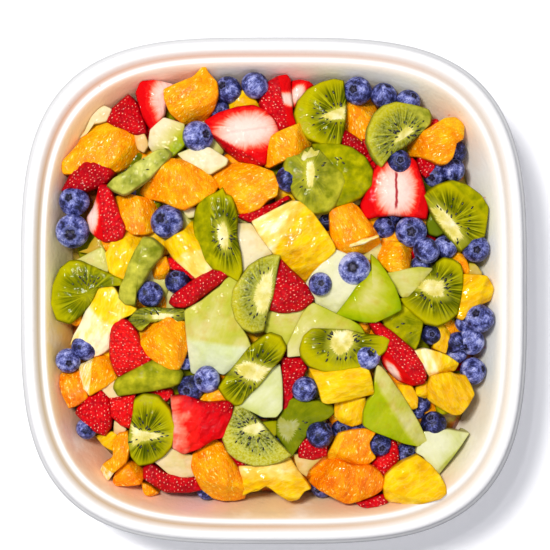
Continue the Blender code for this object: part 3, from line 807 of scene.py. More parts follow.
# Blue bloom in patches over near-black skin, with a star inside the crown's lip.
def berryMaterial():
    n = Nodes("blueberry_skin")
    local = n.kept("local")
    ring, luck, calyx = n.parts(n.kept("marks"))
    patches = n.noise(local, 1.7, 4.0, 0.6)
    fine = n.noise(local, 9.0, 5.0, 0.65)
    streaks = n.noise(n.stretched(local, (5.0, 5.0, 0.9)), 2.2, 4.0, 0.6)
    bloom = n.math("ADD", n.times(patches, 0.72), n.times(fine, 0.16))
    bloom = n.timesPlus(streaks, 0.34, bloom)
    bloom = n.timesPlus(luck, 0.14, n.minus(bloom, 0.125))
    tint = n.ramp(bloom, (0.42, 10, 10, 30), (0.50, 34, 36, 84), (0.56, 72, 78, 142), (0.63, 122, 128, 194),
                  (0.72, 186, 190, 234))
    star = n.ramp(ring, (0.0, 64, 60, 96), (0.22, 48, 44, 82), (0.42, 18, 14, 34), (0.70, 30, 26, 56),
                  (0.86, 104, 110, 168), (1.0, 84, 90, 146))
    star = n.blend(n.step(fine, 0.35, 0.65), n.stain(star, 0.35, 16, 12, 30), star)
    tint = n.blend(calyx, tint, star)
    normal = n.bump(fine, 0.0006, 0.4, n.bump(patches, 0.002, 0.35))
    return n.finish(tint, normal, rough=0.34, gloss=0.3, depth=0.02, reach=(0.3, 0.3, 1.0))


# Turns the crown's own axis, up, to the direction it looks in: columns of the turning matrix.
def lookTo(x, y):
    z = math.sqrt(max(1.0 - x * x - y * y, 0.05))
    axis = np.array([x, y, z]) / math.sqrt(x * x + y * y + z * z)
    side = np.cross([0.2, 1.0, 0.1], axis)
    side /= np.linalg.norm(side)
    return np.stack([side, np.cross(axis, side), axis], axis=1)


# One berry: a squashed ball by polar rows, with a lobed collar round a shallow well at its crown.
def berrySkin(x, y, width, level, lookX, lookY, key, shift):
    b = berry
    draws = np.random.default_rng(key)
    crown = np.linspace(0.05, 0.52, b["crownRows"])
    body = np.linspace(0.62, math.pi - 0.1, b["rows"] - b["crownRows"])
    polar = np.concatenate([crown, body])[:, None]
    around = (np.arange(b["columns"]) * 2.0 * math.pi / b["columns"])[None]
    lobe = np.abs(np.sin(around * b["lobes"] / 2.0 + draws.uniform(0.0, 3.0)))
    large = b["large"] if width > 18.0 else draws.uniform(0.85, 1.2)
    lip = b["crownLip"] * large * (1.0 - b["lobeDepth"] * (1.0 - lobe) ** 2)
    radius = 1.0 + b["lipRise"] * (0.5 + 0.8 * lobe) * np.exp(-((polar - lip) / 0.07) ** 2)
    radius = radius - b["well"] / (1.0 + np.exp((polar - lip + 0.07) / 0.022))
    radius = radius - b["dip"] * np.exp(-((polar - b["crownOut"] - 0.02) / 0.10) ** 2)
    wobble = draws.uniform(-0.02, 0.02, 4)
    radius = radius + wobble[0] * np.sin(polar * 3.0 + around)
    radius = radius + wobble[1] * np.cos(polar * 2.0 - 2.0 * around)
    ball = np.stack([radius * np.sin(polar) * np.cos(around), radius * np.sin(polar) * np.sin(around),
                     radius * np.cos(polar) * b["squash"] + np.zeros_like(around)], axis=-1)
    middle = domeAt(x, y) + heapForm["level"] * (level + 1.0) - 0.47 * width
    x, y = spreadOut((x, y), middle)[0]
    reach = 1.0 + (0.54 * width + 0.6) / math.hypot(x, y)
    middle = max(middle, min(clearHeight(x * reach, y * reach, 0.0), middle + heapForm["rise"] + 1.0))
    turned = ball @ lookTo(lookX, lookY).T * (width / 2.0) + np.array([x, y, middle])
    calyx = 1.0 / (1.0 + np.exp((polar - lip - 0.05) / 0.015))
    luck = draws.uniform() + shift / 0.14
    marks = np.stack([polar / (lip + 0.05), np.full(calyx.shape, luck), calyx], axis=-1)
    return turned, ball + draws.uniform(0.0, 40.0, 3), marks


# The berries that show and those under them; one that meets the wall is first pushed in whole.
def makeBerries():
    rows = list(blueberries)
    draws = np.random.default_rng(21)
    for x, y in shared(0):
        rows.append((x, y, draws.uniform(11.0, 15.0), -1.4, *draws.uniform(-0.5, 0.5, 2)))
    grids, local, marks = [], [], []
    for at, row in enumerate(rows):
        grid, own, mark = berrySkin(*row, 300 + at, bloomAndLightShift.get(at, 0.0))
        shift = (keepInside(grid, berry["gap"]) - grid)[..., :2].reshape(-1, 2)
        push = shift[np.abs(shift).sum(axis=1).argmax()]
        grids.append(grid + np.array([push[0], push[1], 0.0]))
        local.append(own)
        marks.append(mark)
    tops, bottoms = zip(*[(grid[0].mean(axis=0), grid[-1].mean(axis=0)) for grid in grids])
    skins = closedInside(grids, tops, bottoms, {"local": local, "marks": marks}, berry["gap"])
    meshPiece("blueberries", skins, berryMaterial())


makeBerries()


# Kiwi: outline, level, and how it is cut. core is where the pale middle lies, reach the slice's radii
# and the direction of the longer one, centre the outline of the cream, and seeds where they show.
# Beyond the plane lies the plain outer side, and plain says how much of that there is everywhere.
kiwis = [
    ([38, 115, 33, 116, 26, 114, 19, 110, 14, 104, 12, 97, 14, 90, 19, 84, 27, 80.5, 36, 80, 38, 88, 39, 97,
      39, 106],
     2, {"core": (36, 97), "reach": (23, 21, 90), "centre": [27, 95.4, 31, 98, 39, 101, 39, 94.3, 32, 93.8],
         "seeds": [25, 103, 22, 100, 21, 95, 22, 91, 25, 88, 28, 86, 33, 84, 29, 107, 33, 109, 24, 97,
         27, 92]}),
    ([59.6, 68.2, 55, 74, 51.9, 82, 52.5, 88.7, 56.2, 96.8, 60.9, 101.1, 67.6, 103.1, 76.3, 102.1,
      85.1, 99.7, 86.7, 96, 85.7, 91.4, 81, 86.7, 73, 80.7, 64.3, 74.6],
     3, {"core": (70.7, 85.4), "reach": (25, 18, 40), "plane": (40, 13, 0.2), "pale": 0.2,
         "centre": [66.6, 80.8, 68.5, 85, 72.5, 89.3, 76.3, 89.2, 76.6, 87, 71, 83], "seeds": [82, 93,
         76, 92, 72, 92, 67, 91, 64, 88, 62, 84, 61, 80, 62, 76, 65, 76, 79, 90, 70, 89]}),
    ([22, 80, 28, 80.5, 36, 80, 43, 78, 50, 73, 54, 66, 53.5, 58, 48, 52, 38, 47, 32, 46, 28, 60, 24, 70],
     2.6, {"plain": 1.0, "dome": 3.5, "seeds": [35, 71.5, 36.5, 72.5, 34, 72.5, 38, 70]}),
    ([7, 73, 14, 74, 19, 78, 25, 77, 30, 71.5, 33.4, 67.5, 37.3, 64.4, 38.9, 59.6, 36.5, 53.3, 33.5, 47,
      30, 43.5, 21, 42.5, 16, 47, 12, 52, 9, 58, 6, 66],
     3.3, {"core": (20, 64), "reach": (27, 17, 80), "dome": 3.0, "ring": 6, "plain": 0.65, "pale": 0.1,
           "centre": [18, 70, 21.5, 71, 22.3, 64, 21, 57, 18.5, 57.5, 17.8, 63], "plane": (-10, 6, 0),
           "seeds": [28, 70, 26.5, 68.5, 24, 66, 23.5, 62, 16, 60, 15, 57, 17, 55]}),
    ([15.5, 72.5, 17.5, 76.5, 18.8, 74.6, 20.4, 78.2, 21.6, 75.8, 24.6, 76.8, 23.2, 73.8, 20.6, 72.6,
      18.6, 73.4, 17, 71.2],
     3.2, {"core": (19.5, 74), "reach": (6, 6, 0), "thick": 2.0, "dome": 0.4, "edge": 0.4, "ring": 0,
           "dark": 0.14, "centre": [12, 70, 12, 80, 27, 80, 27, 70]}),
    ([83, 51.5, 91, 57, 99, 59.5, 107, 57, 114, 52, 118.3, 45.5, 117, 36, 116, 30, 110, 27, 103, 22, 97, 29,
      90, 38],
     2, {"core": (97, 37), "reach": (30, 21, -38), "ring": 18, "plane": (48, 9, 0), "centre": [87.3, 43.9,
         91.5, 45.4, 97, 40.4, 101.8, 34.4, 103.4, 29.4, 99.4, 27, 94.7, 32.5, 90, 38.8], "seeds": [94, 47,
         92, 44, 98, 46, 103, 43, 108, 41, 108, 38, 107, 34, 107, 31, 101, 28, 90, 46, 104, 47, 109, 45,
         99, 50]}),
    ([86, 42, 88, 40, 94.5, 32, 90, 30, 86, 31, 85, 36], 0, {"plain": 1.0, "dark": 0.9}),
    ([-113, 15, -108, 15, -100, 12, -92, 8.5, -85, 5.5, -83, 2, -90, 4, -93, 6, -98, 0, -102, -8, -107, -13,
      -113, -18, -120, -16, -123, -8, -122, 2, -118, 11],
     2, {"core": (-103, -3), "reach": (24, 21, 60), "dark": 0.1, "plain": 0.3, "seeds": [-101, 5, -99, 4.5,
         -103, 6, -104, 4, -98, 3.5, -107, 7, -104, 8, -105.5, 5, -100, 7, -102, 3, -108, 4, -111, 3,
         -97, 6, -106, 3]}),
    ([-92, 58, -88, 62, -82, 65, -77, 69, -71, 73, -66, 76.5, -61, 77.5, -58, 75, -59, 72, -63, 68, -69, 62,
      -76, 57, -80, 54, -83, 53, -88, 55],
     3.6, {"plain": 1.0, "pale": 0.4, "lump": 0.15, "seeds": [-72, 72, -82, 66, -70, 66]}),
    ([-73, 28, -68, 27.5, -62, 22.5, -63, 18, -70, 10, -73, 4, -76, -1, -77, -8, -82, -8, -86, -4, -85, 2,
      -82, 8, -80, 14, -77, 21],
     3, {"plain": 1.0, "dome": 3.0, "pale": 0.2}),
    ([-31, 53, -28.5, 55.5, -27, 51.5, -24, 51, -22.5, 47, -21, 40, -21.5, 30, -19, 20, -18, 11, -20, 5,
      -30, 11, -34, 12, -40, 19, -43.5, 28, -44, 36, -43.5, 42, -41, 49],
     3, {"core": (-27, 31), "reach": (27, 13, 97), "plane": (185, 3.5, 0.5), "ring": 14,
         "centre": [-31.5, 35, -27.5, 36.5, -25.5, 31, -25.5, 24, -28, 22.5, -30.5, 26, -31.5, 31],
         "seeds": [-28, 43, -26, 41, -22, 39, -32, 39, -29, 28, -25, 22.5, -22.5, 19.5, -31, 33, -30, 23]}),
    ([3, 18.5, -2, 18, -8, 16, -14, 12, -18, 6, -22, 0, -23, -8, -21, -16, -17, -21, -12, -23, -6, -22,
      -4, -12, -1, -3, 1, 8],
     3, {"core": (-5, -2), "reach": (26, 18, 80), "ring": 8, "pale": 0.25, "centre": [-9, 2, -6, 7.5,
         -1, 10.5, -1.5, -2, -3.5, -11, -8.5, -12.5, -11, -5], "seeds": [-14, -6, -13, -13, -11, -15,
         -5, -15, -5, -18, -15, 0, -12, 6, -8, 10, -3, 12]}),
    ([88, 10, 90, 14, 94, 16.5, 99, 15.5, 103, 13, 104, 9, 104, 2, 103, -4, 101, -13, 96, -17, 90, -19.5,
      84, -18, 79, -14, 73, -9, 70, -5, 75, -4, 79, 0],
     2, {"core": (87.5, 1), "reach": (29, 20, -28), "ring": 16, "centre": [83.4, 5.6, 93.7, 4, 93.2, -3.3,
         88.5, -4, 79.5, 0.8], "seeds": [90, 7, 95, 5, 98, 5, 96, 3, 97, 1, 97, -1, 96, -3, 83, -5, 86, -6,
         87, -9, 92, -7, 90, 9, 98, 8]}),
    ([65, -13, 70, -8, 76, -12, 82, -18, 80, -28, 78, -33, 70, -27, 62, -21, 60, -17],
     1, {"plain": 0.85, "seeds": [71, -19, 68, -21, 75, -24]}),
    ([-80, -17, -76, -12, -72, -10.5, -62, -11, -50, -11, -49, -16, -54, -18, -62, -17, -70, -18, -72, -22,
      -74, -22.5],
     2, {"core": (-62, -15), "reach": (34, 9, 4), "pale": 0.1, "ring": 6, "centre": [-68, -14.5, -62, -13,
         -55, -14, -58, -16, -66, -16.5], "seeds": [-72, -17, -64, -13.5]}),
    ([-88, -52, -86, -49, -80, -46, -70, -41, -66, -39, -60, -41, -54, -44, -52, -47, -53, -52, -58, -54,
      -70, -56, -80, -58, -86, -59, -88.5, -55],
     3, {"plain": 1.0, "dome": 4.0, "pale": 0.05}),
    ([-77, -62, -72, -58.5, -64, -60, -58, -67, -55, -77, -57, -86, -62, -92, -68, -95.5, -75, -97,
      -79, -92, -80.5, -84, -78, -72],
     2.4, {"core": (-71, -80), "reach": (21, 17, 80), "centre": [-78.8, -74.5, -74, -78, -66, -79,
           -60.5, -80, -66, -82.5, -73, -83.5, -77.8, -86.5], "seeds": [-74, -71, -70, -69.5, -66, -71,
           -63, -74, -61.5, -79, -63, -84, -66, -88, -70, -89, -74, -87, -76, -83, -76, -76, -72, -73,
           -67, -86]}),
    ([-8, -28, -3, -25, 3, -27, 6, -33, 3, -39, -2, -44, -8, -52, -13, -57, -18, -63, -21, -63.5, -26, -60,
      -30, -54, -26, -48, -20, -41, -14, -33],
     3, {"core": (-12, -45.5), "reach": (26, 17, 50), "ring": 10, "centre": [-20.5, -42, -15, -39.3,
         -8, -42, -2, -43.5, -6, -49, -9, -51.5, -15, -49, -19, -46.5], "seeds": [-9, -36.5, -5, -40,
         -2, -39, -18, -48, -17, -52, -13, -54, -6, -34, -21, -52, -3, -35]}),
    ([15, -33, 17, -26, 22, -22, 30, -22.5, 40, -23, 50, -25.5, 60, -26, 63.5, -28, 61, -34, 56, -38,
      46, -43, 36, -44.5, 28, -45, 20, -42, 16, -37],
     3.3, {"core": (38, -29), "reach": (25, 16, -6), "centre": [33, -23, 42, -22.5, 44.5, -26, 42.5, -31,
           40, -35, 34, -35.5, 31.5, -31], "seeds": [28, -23.5, 32, -24.5, 30, -27, 27, -34, 30, -36,
           29, -39, 40, -37.5, 48, -26.5, 53, -28, 35, -38, 25, -30, 44, -26, 24, -35]}),
    ([-21, -64.5, -22, -68, -25, -75, -28, -82, -25, -90, -20, -94, -12, -97, -4, -97, 3, -95, 9, -91.5,
      0, -83, -7, -75, -14, -67, -19, -63],
     2.3, {"core": (-11, -77.5), "reach": (21, 15, -45), "pale": 0.4, "centre": [-18.6, -77.5, -13.9, -75,
           -7.6, -73, -5, -76.5, -10, -80], "ring": 30, "seeds": [-16, -75, -18, -78, -20, -80, -14, -85,
           -9, -84, -4, -82, -1, -84, -18, -85, -12, -89, -6, -88, -21, -84, -19, -74, -8, -91]}),
    ([9, -60, 16, -62, 24, -62, 31, -64, 33, -68, 30, -71, 24, -74, 18, -80, 14, -86, 10, -92, 6, -86,
      2, -80, 2, -74, 5, -68],
     1, {"core": (7, -76), "reach": (26, 18, 60), "dark": 0.6, "plain": 0.8, "centre": [3, -70, 7, -73,
         12, -72, 13.5, -74, 11, -79, 8, -85, 4, -80, 2, -75], "seeds": [16, -72.5, 17.6, -73.2,
         14.5, -77]}),
    ([90, -64, 96, -63, 97, -68, 91, -69], 0, {"plain": 1.0}),
]
kiwiForm = dict(baseForm, rows=24, columns=108, thick=11.0, dome=1.4, lump=0.3, lumpLength=10.0, edge=1.0,
                flare=0.05, reach=(24, 20, 0), ring=26, plain=0.0, pale=0.0, dark=0.0)


# Place on a kiwi's cut: 1 is its skin, 0 the middle of its core, by its two radii.
def kiwiPlace(chunk, x, y):
    long, wide, turn = chunk.form["reach"]
    middle = chunk.form["core"] or (chunk.middle.real + 14.0, chunk.middle.imag)
    u, v = turnedTo(x, y, middle, math.radians(turn))
    return u / long, v / wide


# The cream middle: its own middle point, and its reach from there in each direction.
def creamMiddle(chunk):
    outline = softOutline(chunk.form["centre"], 0.4, 72)
    middle = middleOf(outline)
    return middle, *spokesOf(outline, middle)


# Share of the way from the cream's middle to its edge: over 1 lies outside it.
def creamShare(chunk, x, y):
    if chunk.form["centre"] is None:
        return np.full(x.shape, 4.0)
    middle, angles, reaches = creamMiddle(chunk)
    spoke = x + 1j * y - middle
    reach = np.interp(np.angle(spoke), angles, reaches, period=2.0 * math.pi)
    return np.clip(np.abs(spoke) / reach, 0.0, 4.0)


# Place on the cut and share to the cream's edge; marks are outer side, side of the piece, which the
# material paints in shade, and tone.
def kiwiPattern(chunk, grid, beside, _):
    u, v = kiwiPlace(chunk, grid[..., 0], grid[..., 1])
    local = np.stack([u, v, creamShare(chunk, grid[..., 0], grid[..., 1])], axis=-1)
    flank = np.clip(chunk.beyondCut(grid[..., 0], grid[..., 1]) / 1.5 + 0.5, chunk.form["plain"], 1.0)
    side = np.broadcast_to(beside[:, None], u.shape)
    tone = np.full(u.shape, chunk.form["pale"] - chunk.form["dark"])
    return local, np.stack([flank, side, tone], axis=-1)


# Green flesh with rays from the core: its tone goes by reach, pale and deep rays lie in a band
# outside the cream, the outer side is smooth, the piece's sides are painted darker as shade, and tone
# frosts a piece or darkens it.
def kiwiMaterial():
    n = Nodes("kiwi_flesh")
    u, v, cream = n.parts(n.kept("local"))
    flank, side, tone = n.parts(n.kept("marks"))
    place = n.place()
    reach, spoke = n.polar(u, v)
    spun = n.vectors("MULTIPLY_ADD", place, (5.0, 5.0, 5.0), n.vectors("SCALE", spoke, Scale=2.4))
    rays = n.noise(spun, 5.0, 2.5, 0.6)
    blur = n.noise(place, 150.0, 3.0, 0.55)
    fine = n.noise(place, 800.0, 4.0, 0.6)
    wavy = n.timesPlus(n.math("ADD", blur, rays), 0.12, n.minus(reach, 0.12))
    tint = n.ramp(wavy, (0.0, 188, 180, 18), (0.24, 124, 119, 0), (0.40, 88, 92, 0), (0.58, 122, 121, 0),
                  (0.74, 160, 153, 0), (0.88, 182, 171, 0), (1.0, 176, 165, 4))
    band = n.times(n.step(cream, 1.0, 1.4), n.step(reach, 0.86, 0.5))
    pale = n.times(n.step(rays, 0.55, 0.64), n.times(band, 0.7))
    deep = n.times(n.step(rays, 0.5, 0.38), n.times(band, 0.85))
    tint = n.stain(tint, deep, 50, 66, 0)
    tint = n.stain(tint, pale, 194, 190, 22)
    tint = n.stain(tint, n.times(n.step(blur, 0.56, 0.72), 0.35), 194, 190, 4)
    near = n.timesPlus(n.minus(rays, 0.5), 1.1, n.timesPlus(n.minus(blur, 0.5), 0.5, cream))
    tint = n.stain(tint, n.times(n.step(near, 1.9, 1.1), 0.5), 198, 194, 56)
    smooth = n.ramp(blur, (0.3, 102, 112, 0), (0.48, 145, 144, 0), (0.62, 176, 169, 0),
                    (0.75, 202, 193, 24))
    tint = n.blend(n.times(flank, 0.9), tint, smooth)
    pith = n.ramp(blur, (0.35, 212, 196, 84), (0.5, 232, 218, 134), (0.68, 248, 238, 192))
    tint = n.blend(n.step(near, 1.16, 0.94), tint, pith)
    # Painted shade: the piece's sides darker green.
    tint = n.blend(n.times(side, 0.8), tint, n.blend(blur, colour(62, 74, 0), colour(128, 132, 2)))
    frost = n.blend(flank, n.step(fine, 0.35, 0.65), n.step(blur, 0.2, 0.75))
    tint = n.stain(tint, n.times(n.above(tone), frost), 228, 230, 140)
    tint = n.stain(tint, n.below(tone), 92, 110, 8)
    grooves = n.times(rays, n.minus(1.0, flank))
    normal = n.bump(fine, 0.0005, 0.3, n.bump(grooves, 0.0012, 0.4, n.bump(blur, 0.003, 0.25)))
    return n.finish(tint, normal, depth=0.02, reach=(0.7, 1.0, 0.1), wet=n.ripples(place), film=0.32)


# Every seed: rows along it with their fatness, points round it, and how far its tips reach.
seedForm = {
    "rows": (0.03, 0.28, 0.58, 0.86), "fat": (0.22, 0.85, 1.0, 0.48), "around": 6, "tip": 0.53, "gap": 0.45,
}


# Seeds of one kind: pointed drops of a length, width and height, at places with a turn and a rise.
def makeSeeds(name, places, size, material, spread):
    places = np.asarray(places, dtype=float)
    rows = np.array(seedForm["rows"])
    fat = np.array(seedForm["fat"])[:, None]
    around = np.arange(seedForm["around"]) * math.pi / (0.5 * seedForm["around"])
    along = (rows - 0.5)[:, None] + np.zeros(seedForm["around"])
    long, wide, tall = size
    ring = np.stack([along * long, 0.5 * wide * fat * np.cos(around), 0.5 * tall * fat * np.sin(around)],
                    axis=-1)
    tip = seedForm["tip"] * long
    ends = np.array([[-tip, 0.0, 0.0], [tip, 0.0, 0.0]])
    turn, rise = places[:, 3], places[:, 4]
    cosine, sine, lift, flat = np.cos(turn), np.sin(turn), np.sin(rise), np.cos(rise)
    axes = np.stack([np.stack([cosine * flat, sine * flat, lift], axis=-1),
                     np.stack([-sine, cosine, np.zeros_like(turn)], axis=-1),
                     np.stack([-cosine * lift, -sine * lift, flat], axis=-1)], axis=1)
    large = np.random.default_rng(len(places)).uniform(1.0 - spread, 1.0 + spread, (len(places), 1, 1))
    grids = np.einsum("rck,nkd->nrcd", ring, axes) * large[..., None] + places[:, None, None, :3]
    tips = np.einsum("ek,nkd->ned", ends, axes) * large + places[:, None, :3]
    points, quads, fans, values = closedInside(grids, tips[:, 0], tips[:, 1], {}, seedForm["gap"])
    return meshPiece(name, (points, quads[:, ::-1], fans[:, ::-1], values), material)


# More seeds round the cream: at random angles, 0.5 to 3.6 mm beyond its edge, kept on the cut.
def ringSeeds(chunk, draws):
    if chunk.form["centre"] is None or chunk.form["plain"] > 0.5:
        return np.zeros((0, 2))
    middle, angles, reaches = creamMiddle(chunk)
    angle = draws.uniform(-math.pi, math.pi, chunk.form["ring"])
    reach = np.interp(angle, angles, reaches, period=2.0 * math.pi) + draws.uniform(0.5, 3.6, len(angle))
    spot = middle + reach * np.exp(1j * angle)
    _, left = chunk.inwards(spot.real, spot.imag)
    keep = (left > 1.3) & (chunk.beyondCut(spot.real, spot.imag) < -0.5)
    return np.column_stack([spot.real[keep], spot.imag[keep]])


# The kiwi, and its black seeds, which point away from the core.
def makeKiwi():
    chunks = chunksFrom(kiwis, kiwiForm, 500)
    under = filler(kiwiForm, -1.7, 11.0, 560, shared(1))
    buildKind("kiwi", [chunks, under], kiwiPattern, kiwiMaterial())
    draws = np.random.default_rng(31)
    places = []
    for chunk in chunks:
        spots = chunk.form["seeds"]
        if len(spots) == 0:
            continue
        spots = np.vstack([spots + draws.uniform(-0.3, 0.3, spots.shape), ringSeeds(chunk, draws)])
        high = chunk.height(spots[:, 0], spots[:, 1])
        u, v = kiwiPlace(chunk, spots[:, 0], spots[:, 1])
        towards = np.arctan2(v, u) + math.radians(chunk.form["reach"][2])
        towards = towards + draws.uniform(-0.25, 0.25, len(spots))
        places.append(np.column_stack([spots, high - 0.1, towards, draws.uniform(-0.2, 0.2, len(spots))]))
    black = Nodes("kiwi_seed").finish(colour(22, 14, 10), rough=0.25, gloss=0.5)
    makeSeeds("kiwi_seeds", np.vstack(places), (2.3, 1.0, 0.8), black, spread=0.25)


makeKiwi()


# Strawberries: outline, level and own settings. cut is 1 where the middle is a face cut through and
# 0 where it is skin, which gives way to the other at the plane's start over the width blend.
strawberries = [
    ([-81, 108, -76, 103, -72, 92, -71, 86.5, -76, 85.5, -88, 90, -94.5, 94.5, -90, 100], 2, {"dome": 5.0}),
    ([-73, 115.5, -66, 115, -56, 113, -60, 105, -61, 97, -63, 94, -67.5, 87.5, -72, 95, -76, 108],
     1, {"cut": 1.0, "plane": (195, 7.5, 0.5), "heart": (-57, 104, 20, 13.5, 100)}),
    ([-118, 55, -114, 62, -110, 70, -104, 72.5, -97, 72, -92, 68, -88.5, 64.5, -92, 60, -97, 57.5, -105, 55,
      -112, 54],
     3, {"dome": 6.0, "lean": (-0.06, 0.0)}),
    ([-38, 93.5, -30, 98, -20, 101, -12, 102, -5, 99, 0, 93, 2, 88, 0, 82, -4, 78, -5, 70, -8, 69, -20, 72,
      -28, 79, -34, 86],
     2.2, {"cut": 1.0, "plane": (240, 9.5, 0.8), "heart": (-15, 88, 23, 13, 8)}),
    ([-3, 115, 2, 118, 7, 119, 9, 116, 9, 108, 10, 98, 12, 92, 6, 89, 3, 88, 0, 95, -6, 100, -8, 103,
      -4, 112],
     2, {"dome": 3.5, "plane": (12, 2.2, 0.2), "heart": (11, 105, 5, 14, 85)}),
    ([10, 115, 14, 116, 19, 115, 21.5, 113, 17, 108, 13, 103, 11, 100, 9.5, 105, 9.5, 112],
     0.4, {"cut": 1.0, "heart": (13, 108, 8, 4.5, 60)}),
    ([37, 88, 40, 88, 48, 82, 52, 76, 50, 74, 44, 77, 38, 79.5, 36, 84], 1, {"dome": 4.0}),
    ([60, 72, 56, 66, 53, 60, 51, 53, 49, 48, 49, 45, 51, 40, 53, 39.5, 58, 41, 66, 42, 73, 41, 80, 40,
      84, 39.5, 85, 44, 84, 52, 82, 60, 80, 66, 79, 70, 76, 73, 74, 70],
     2, {"cut": 1.0, "heart": (67.5, 55, 19, 14.5, 90), "cleft": True}),
    ([49, 84, 53, 83, 56, 74, 52, 70, 49, 75], 0, {"dome": 3.0}),
    ([84, 93, 90, 94, 93, 89, 86, 87], 0, {"dome": 2.0}),
    ([80, 73, 86, 73, 90, 67, 84, 62, 79, 66], 0, {"dome": 2.0}),
    ([-97, 58, -91, 57, -89, 50, -86, 42, -82.5, 35, -84, 29, -88, 27, -94, 27, -98, 29, -102, 33,
      -103.5, 40, -100, 45, -98, 52],
     2, {"dome": 3.0, "plane": (186, 2.5, 0.3), "heart": (-101, 40, 13, 5, 84)}),
    ([-21, 41, -16, 42, -11, 44.5, -7, 46, -3, 46.5, 1, 48.5, 7, 52, 9, 50, 6, 49, 0, 44, -6, 40, -10, 38,
      -13, 37.5, -17, 39],
     1, {"dome": 3.0}),
    ([-58, -7, -56, -3, -52, 0, -46, 4, -40, 8, -34, 11, -28, 12.5, -24, 12.3, -22.5, 10.5, -26, 7,
      -31, 2.5, -38, -2, -45, -8, -50, -10, -55, -9.5],
     3, {"dome": 5.5}),
    ([-58.5, 17, -55, 17.5, -50, 13, -45, 9, -42, 6, -45, 5, -50, 10, -57, 11], 1, {"dome": 3.0}),
    ([4, 16.5, 2, 10, 0, 0, -2, -11, 3, -12.5, 8, -12.5, 14, -11.5, 19, -9, 22, -5, 18, 2, 13, 7, 8, 12],
     3, {"dome": 5.0, "lean": (-0.05, 0.0)}),
    ([-84, -16.5, -88, -18, -90.5, -22, -91, -30, -91, -38, -89, -44, -86, -49, -82, -46, -74, -43,
      -69, -40, -66, -38, -70, -35, -74, -31, -76, -25, -79, -19],
     3, {"dome": 6.0}),
    ([-96, -54, -98, -58, -104, -60, -109, -66, -110, -69, -105, -74, -101, -78, -94, -81, -91, -76,
      -90, -66, -92, -60],
     2, {"dome": 5.5}),
    ([-91, -60, -84, -59.5, -77, -58, -77, -68, -79, -77, -85, -75, -90, -70], 2, {"dome": 4.5}),
    ([-75, -58, -66, -56, -57, -55, -56, -58, -60, -62, -65, -59], 0, {"dome": 2.0}),
    ([4, -38, 15, -38, 18, -44, 12, -55, 8, -66, 5, -68, 5, -50], 1, {"dome": 3.0}),
    ([-57, -60, -48, -59, -40, -63, -26, -62, -23, -62, -24, -70, -29, -82, -34, -83, -42, -88, -50, -91,
      -56, -88, -55, -76],
     3, {"dome": 4.0, "lump": 1.1, "lumpLength": 5.5, "cut": 1.0, "plane": (68, 9.0, 0.05), "blend": 6.0,
         "heart": (-95, -78, 50, 55, 92)}),
    ([52, -18, 57, -17.5, 66, -24, 77, -34, 82, -41, 84.5, -48, 83, -52, 76, -53, 69, -50, 62, -43, 60, -37,
      63, -30, 56, -25],
     3, {"dome": 4.5, "plane": (222, 3.5, 0.7), "heart": (66, -45, 8.6, 2.7, -52)}),
    ([-72, -99, -68, -96, -60, -102, -52, -104, -44, -104, -40, -111, -48, -112.5, -60, -112, -66, -109,
      -72, -105],
     2, {"dome": 4.0}),
    ([-32, -84, -28, -83, -20, -91, -15, -97, -20, -99, -27, -92], 0, {"dome": 2.0}),
    ([65, -83, 68, -86, 69, -94, 65, -99, 61, -103, 54, -97, 57, -93, 64, -90], 1, {"dome": 4.0}),
    ([14, -84, 20, -82, 29, -84, 29, -92, 22, -94, 14, -93], 1, {"dome": 3.5}),
    ([45, -117, 52, -116, 60, -113, 62.5, -117, 57, -120, 50, -121.5], 1, {"dome": 2.5}),
]
strawberryForm = dict(baseForm, thick=11.0, dome=4.0, lump=0.3, edge=1.0, flare=0.03, cut=0.0, cleft=False,
                      blend=0.5)


# Heart coordinates of a cut face: 0 in its middle, 1 at the skin, by two radii and a direction.
def heartPlace(chunk, x, y):
    if chunk.form["heart"] is None:
        return np.zeros_like(x), np.zeros_like(x)
    centreX, centreY, long, wide, turn = chunk.form["heart"]
    u, v = turnedTo(x, y, (centreX, centreY), math.radians(turn))
    return u / long, v / wide


# How much of a place is cut face rather than skin, by the chunk's cut line.
def cutShare(chunk, x, y):
    beyond = np.clip(chunk.beyondCut(x, y) / chunk.form["blend"] + 0.5, 0.0, 1.0)
    return (1.0 - beyond) if chunk.form["cut"] > 0.5 else beyond


# Place in the heart; marks are cut face, nearness to the edge, by which the skin is painted darker
# as shade, and luck, with 2 more for a cleft.
def strawberryPattern(chunk, grid, beside, share):
    x, y = grid[..., 0], grid[..., 1]
    u, v = heartPlace(chunk, x, y)
    local = np.stack([u, v, np.full(u.shape, chunk.luck[1] * 60.0)], axis=-1)
    cut = cutShare(chunk, x, y) * (1.0 - beside[:, None])
    edge = np.broadcast_to((share + 0.5 * beside)[:, None], u.shape)
    luck = np.full(u.shape, 0.98 * chunk.luck[0] + (2.0 if chunk.form["cleft"] else 0.0))
    return local, np.stack([cut, edge, luck], axis=-1)


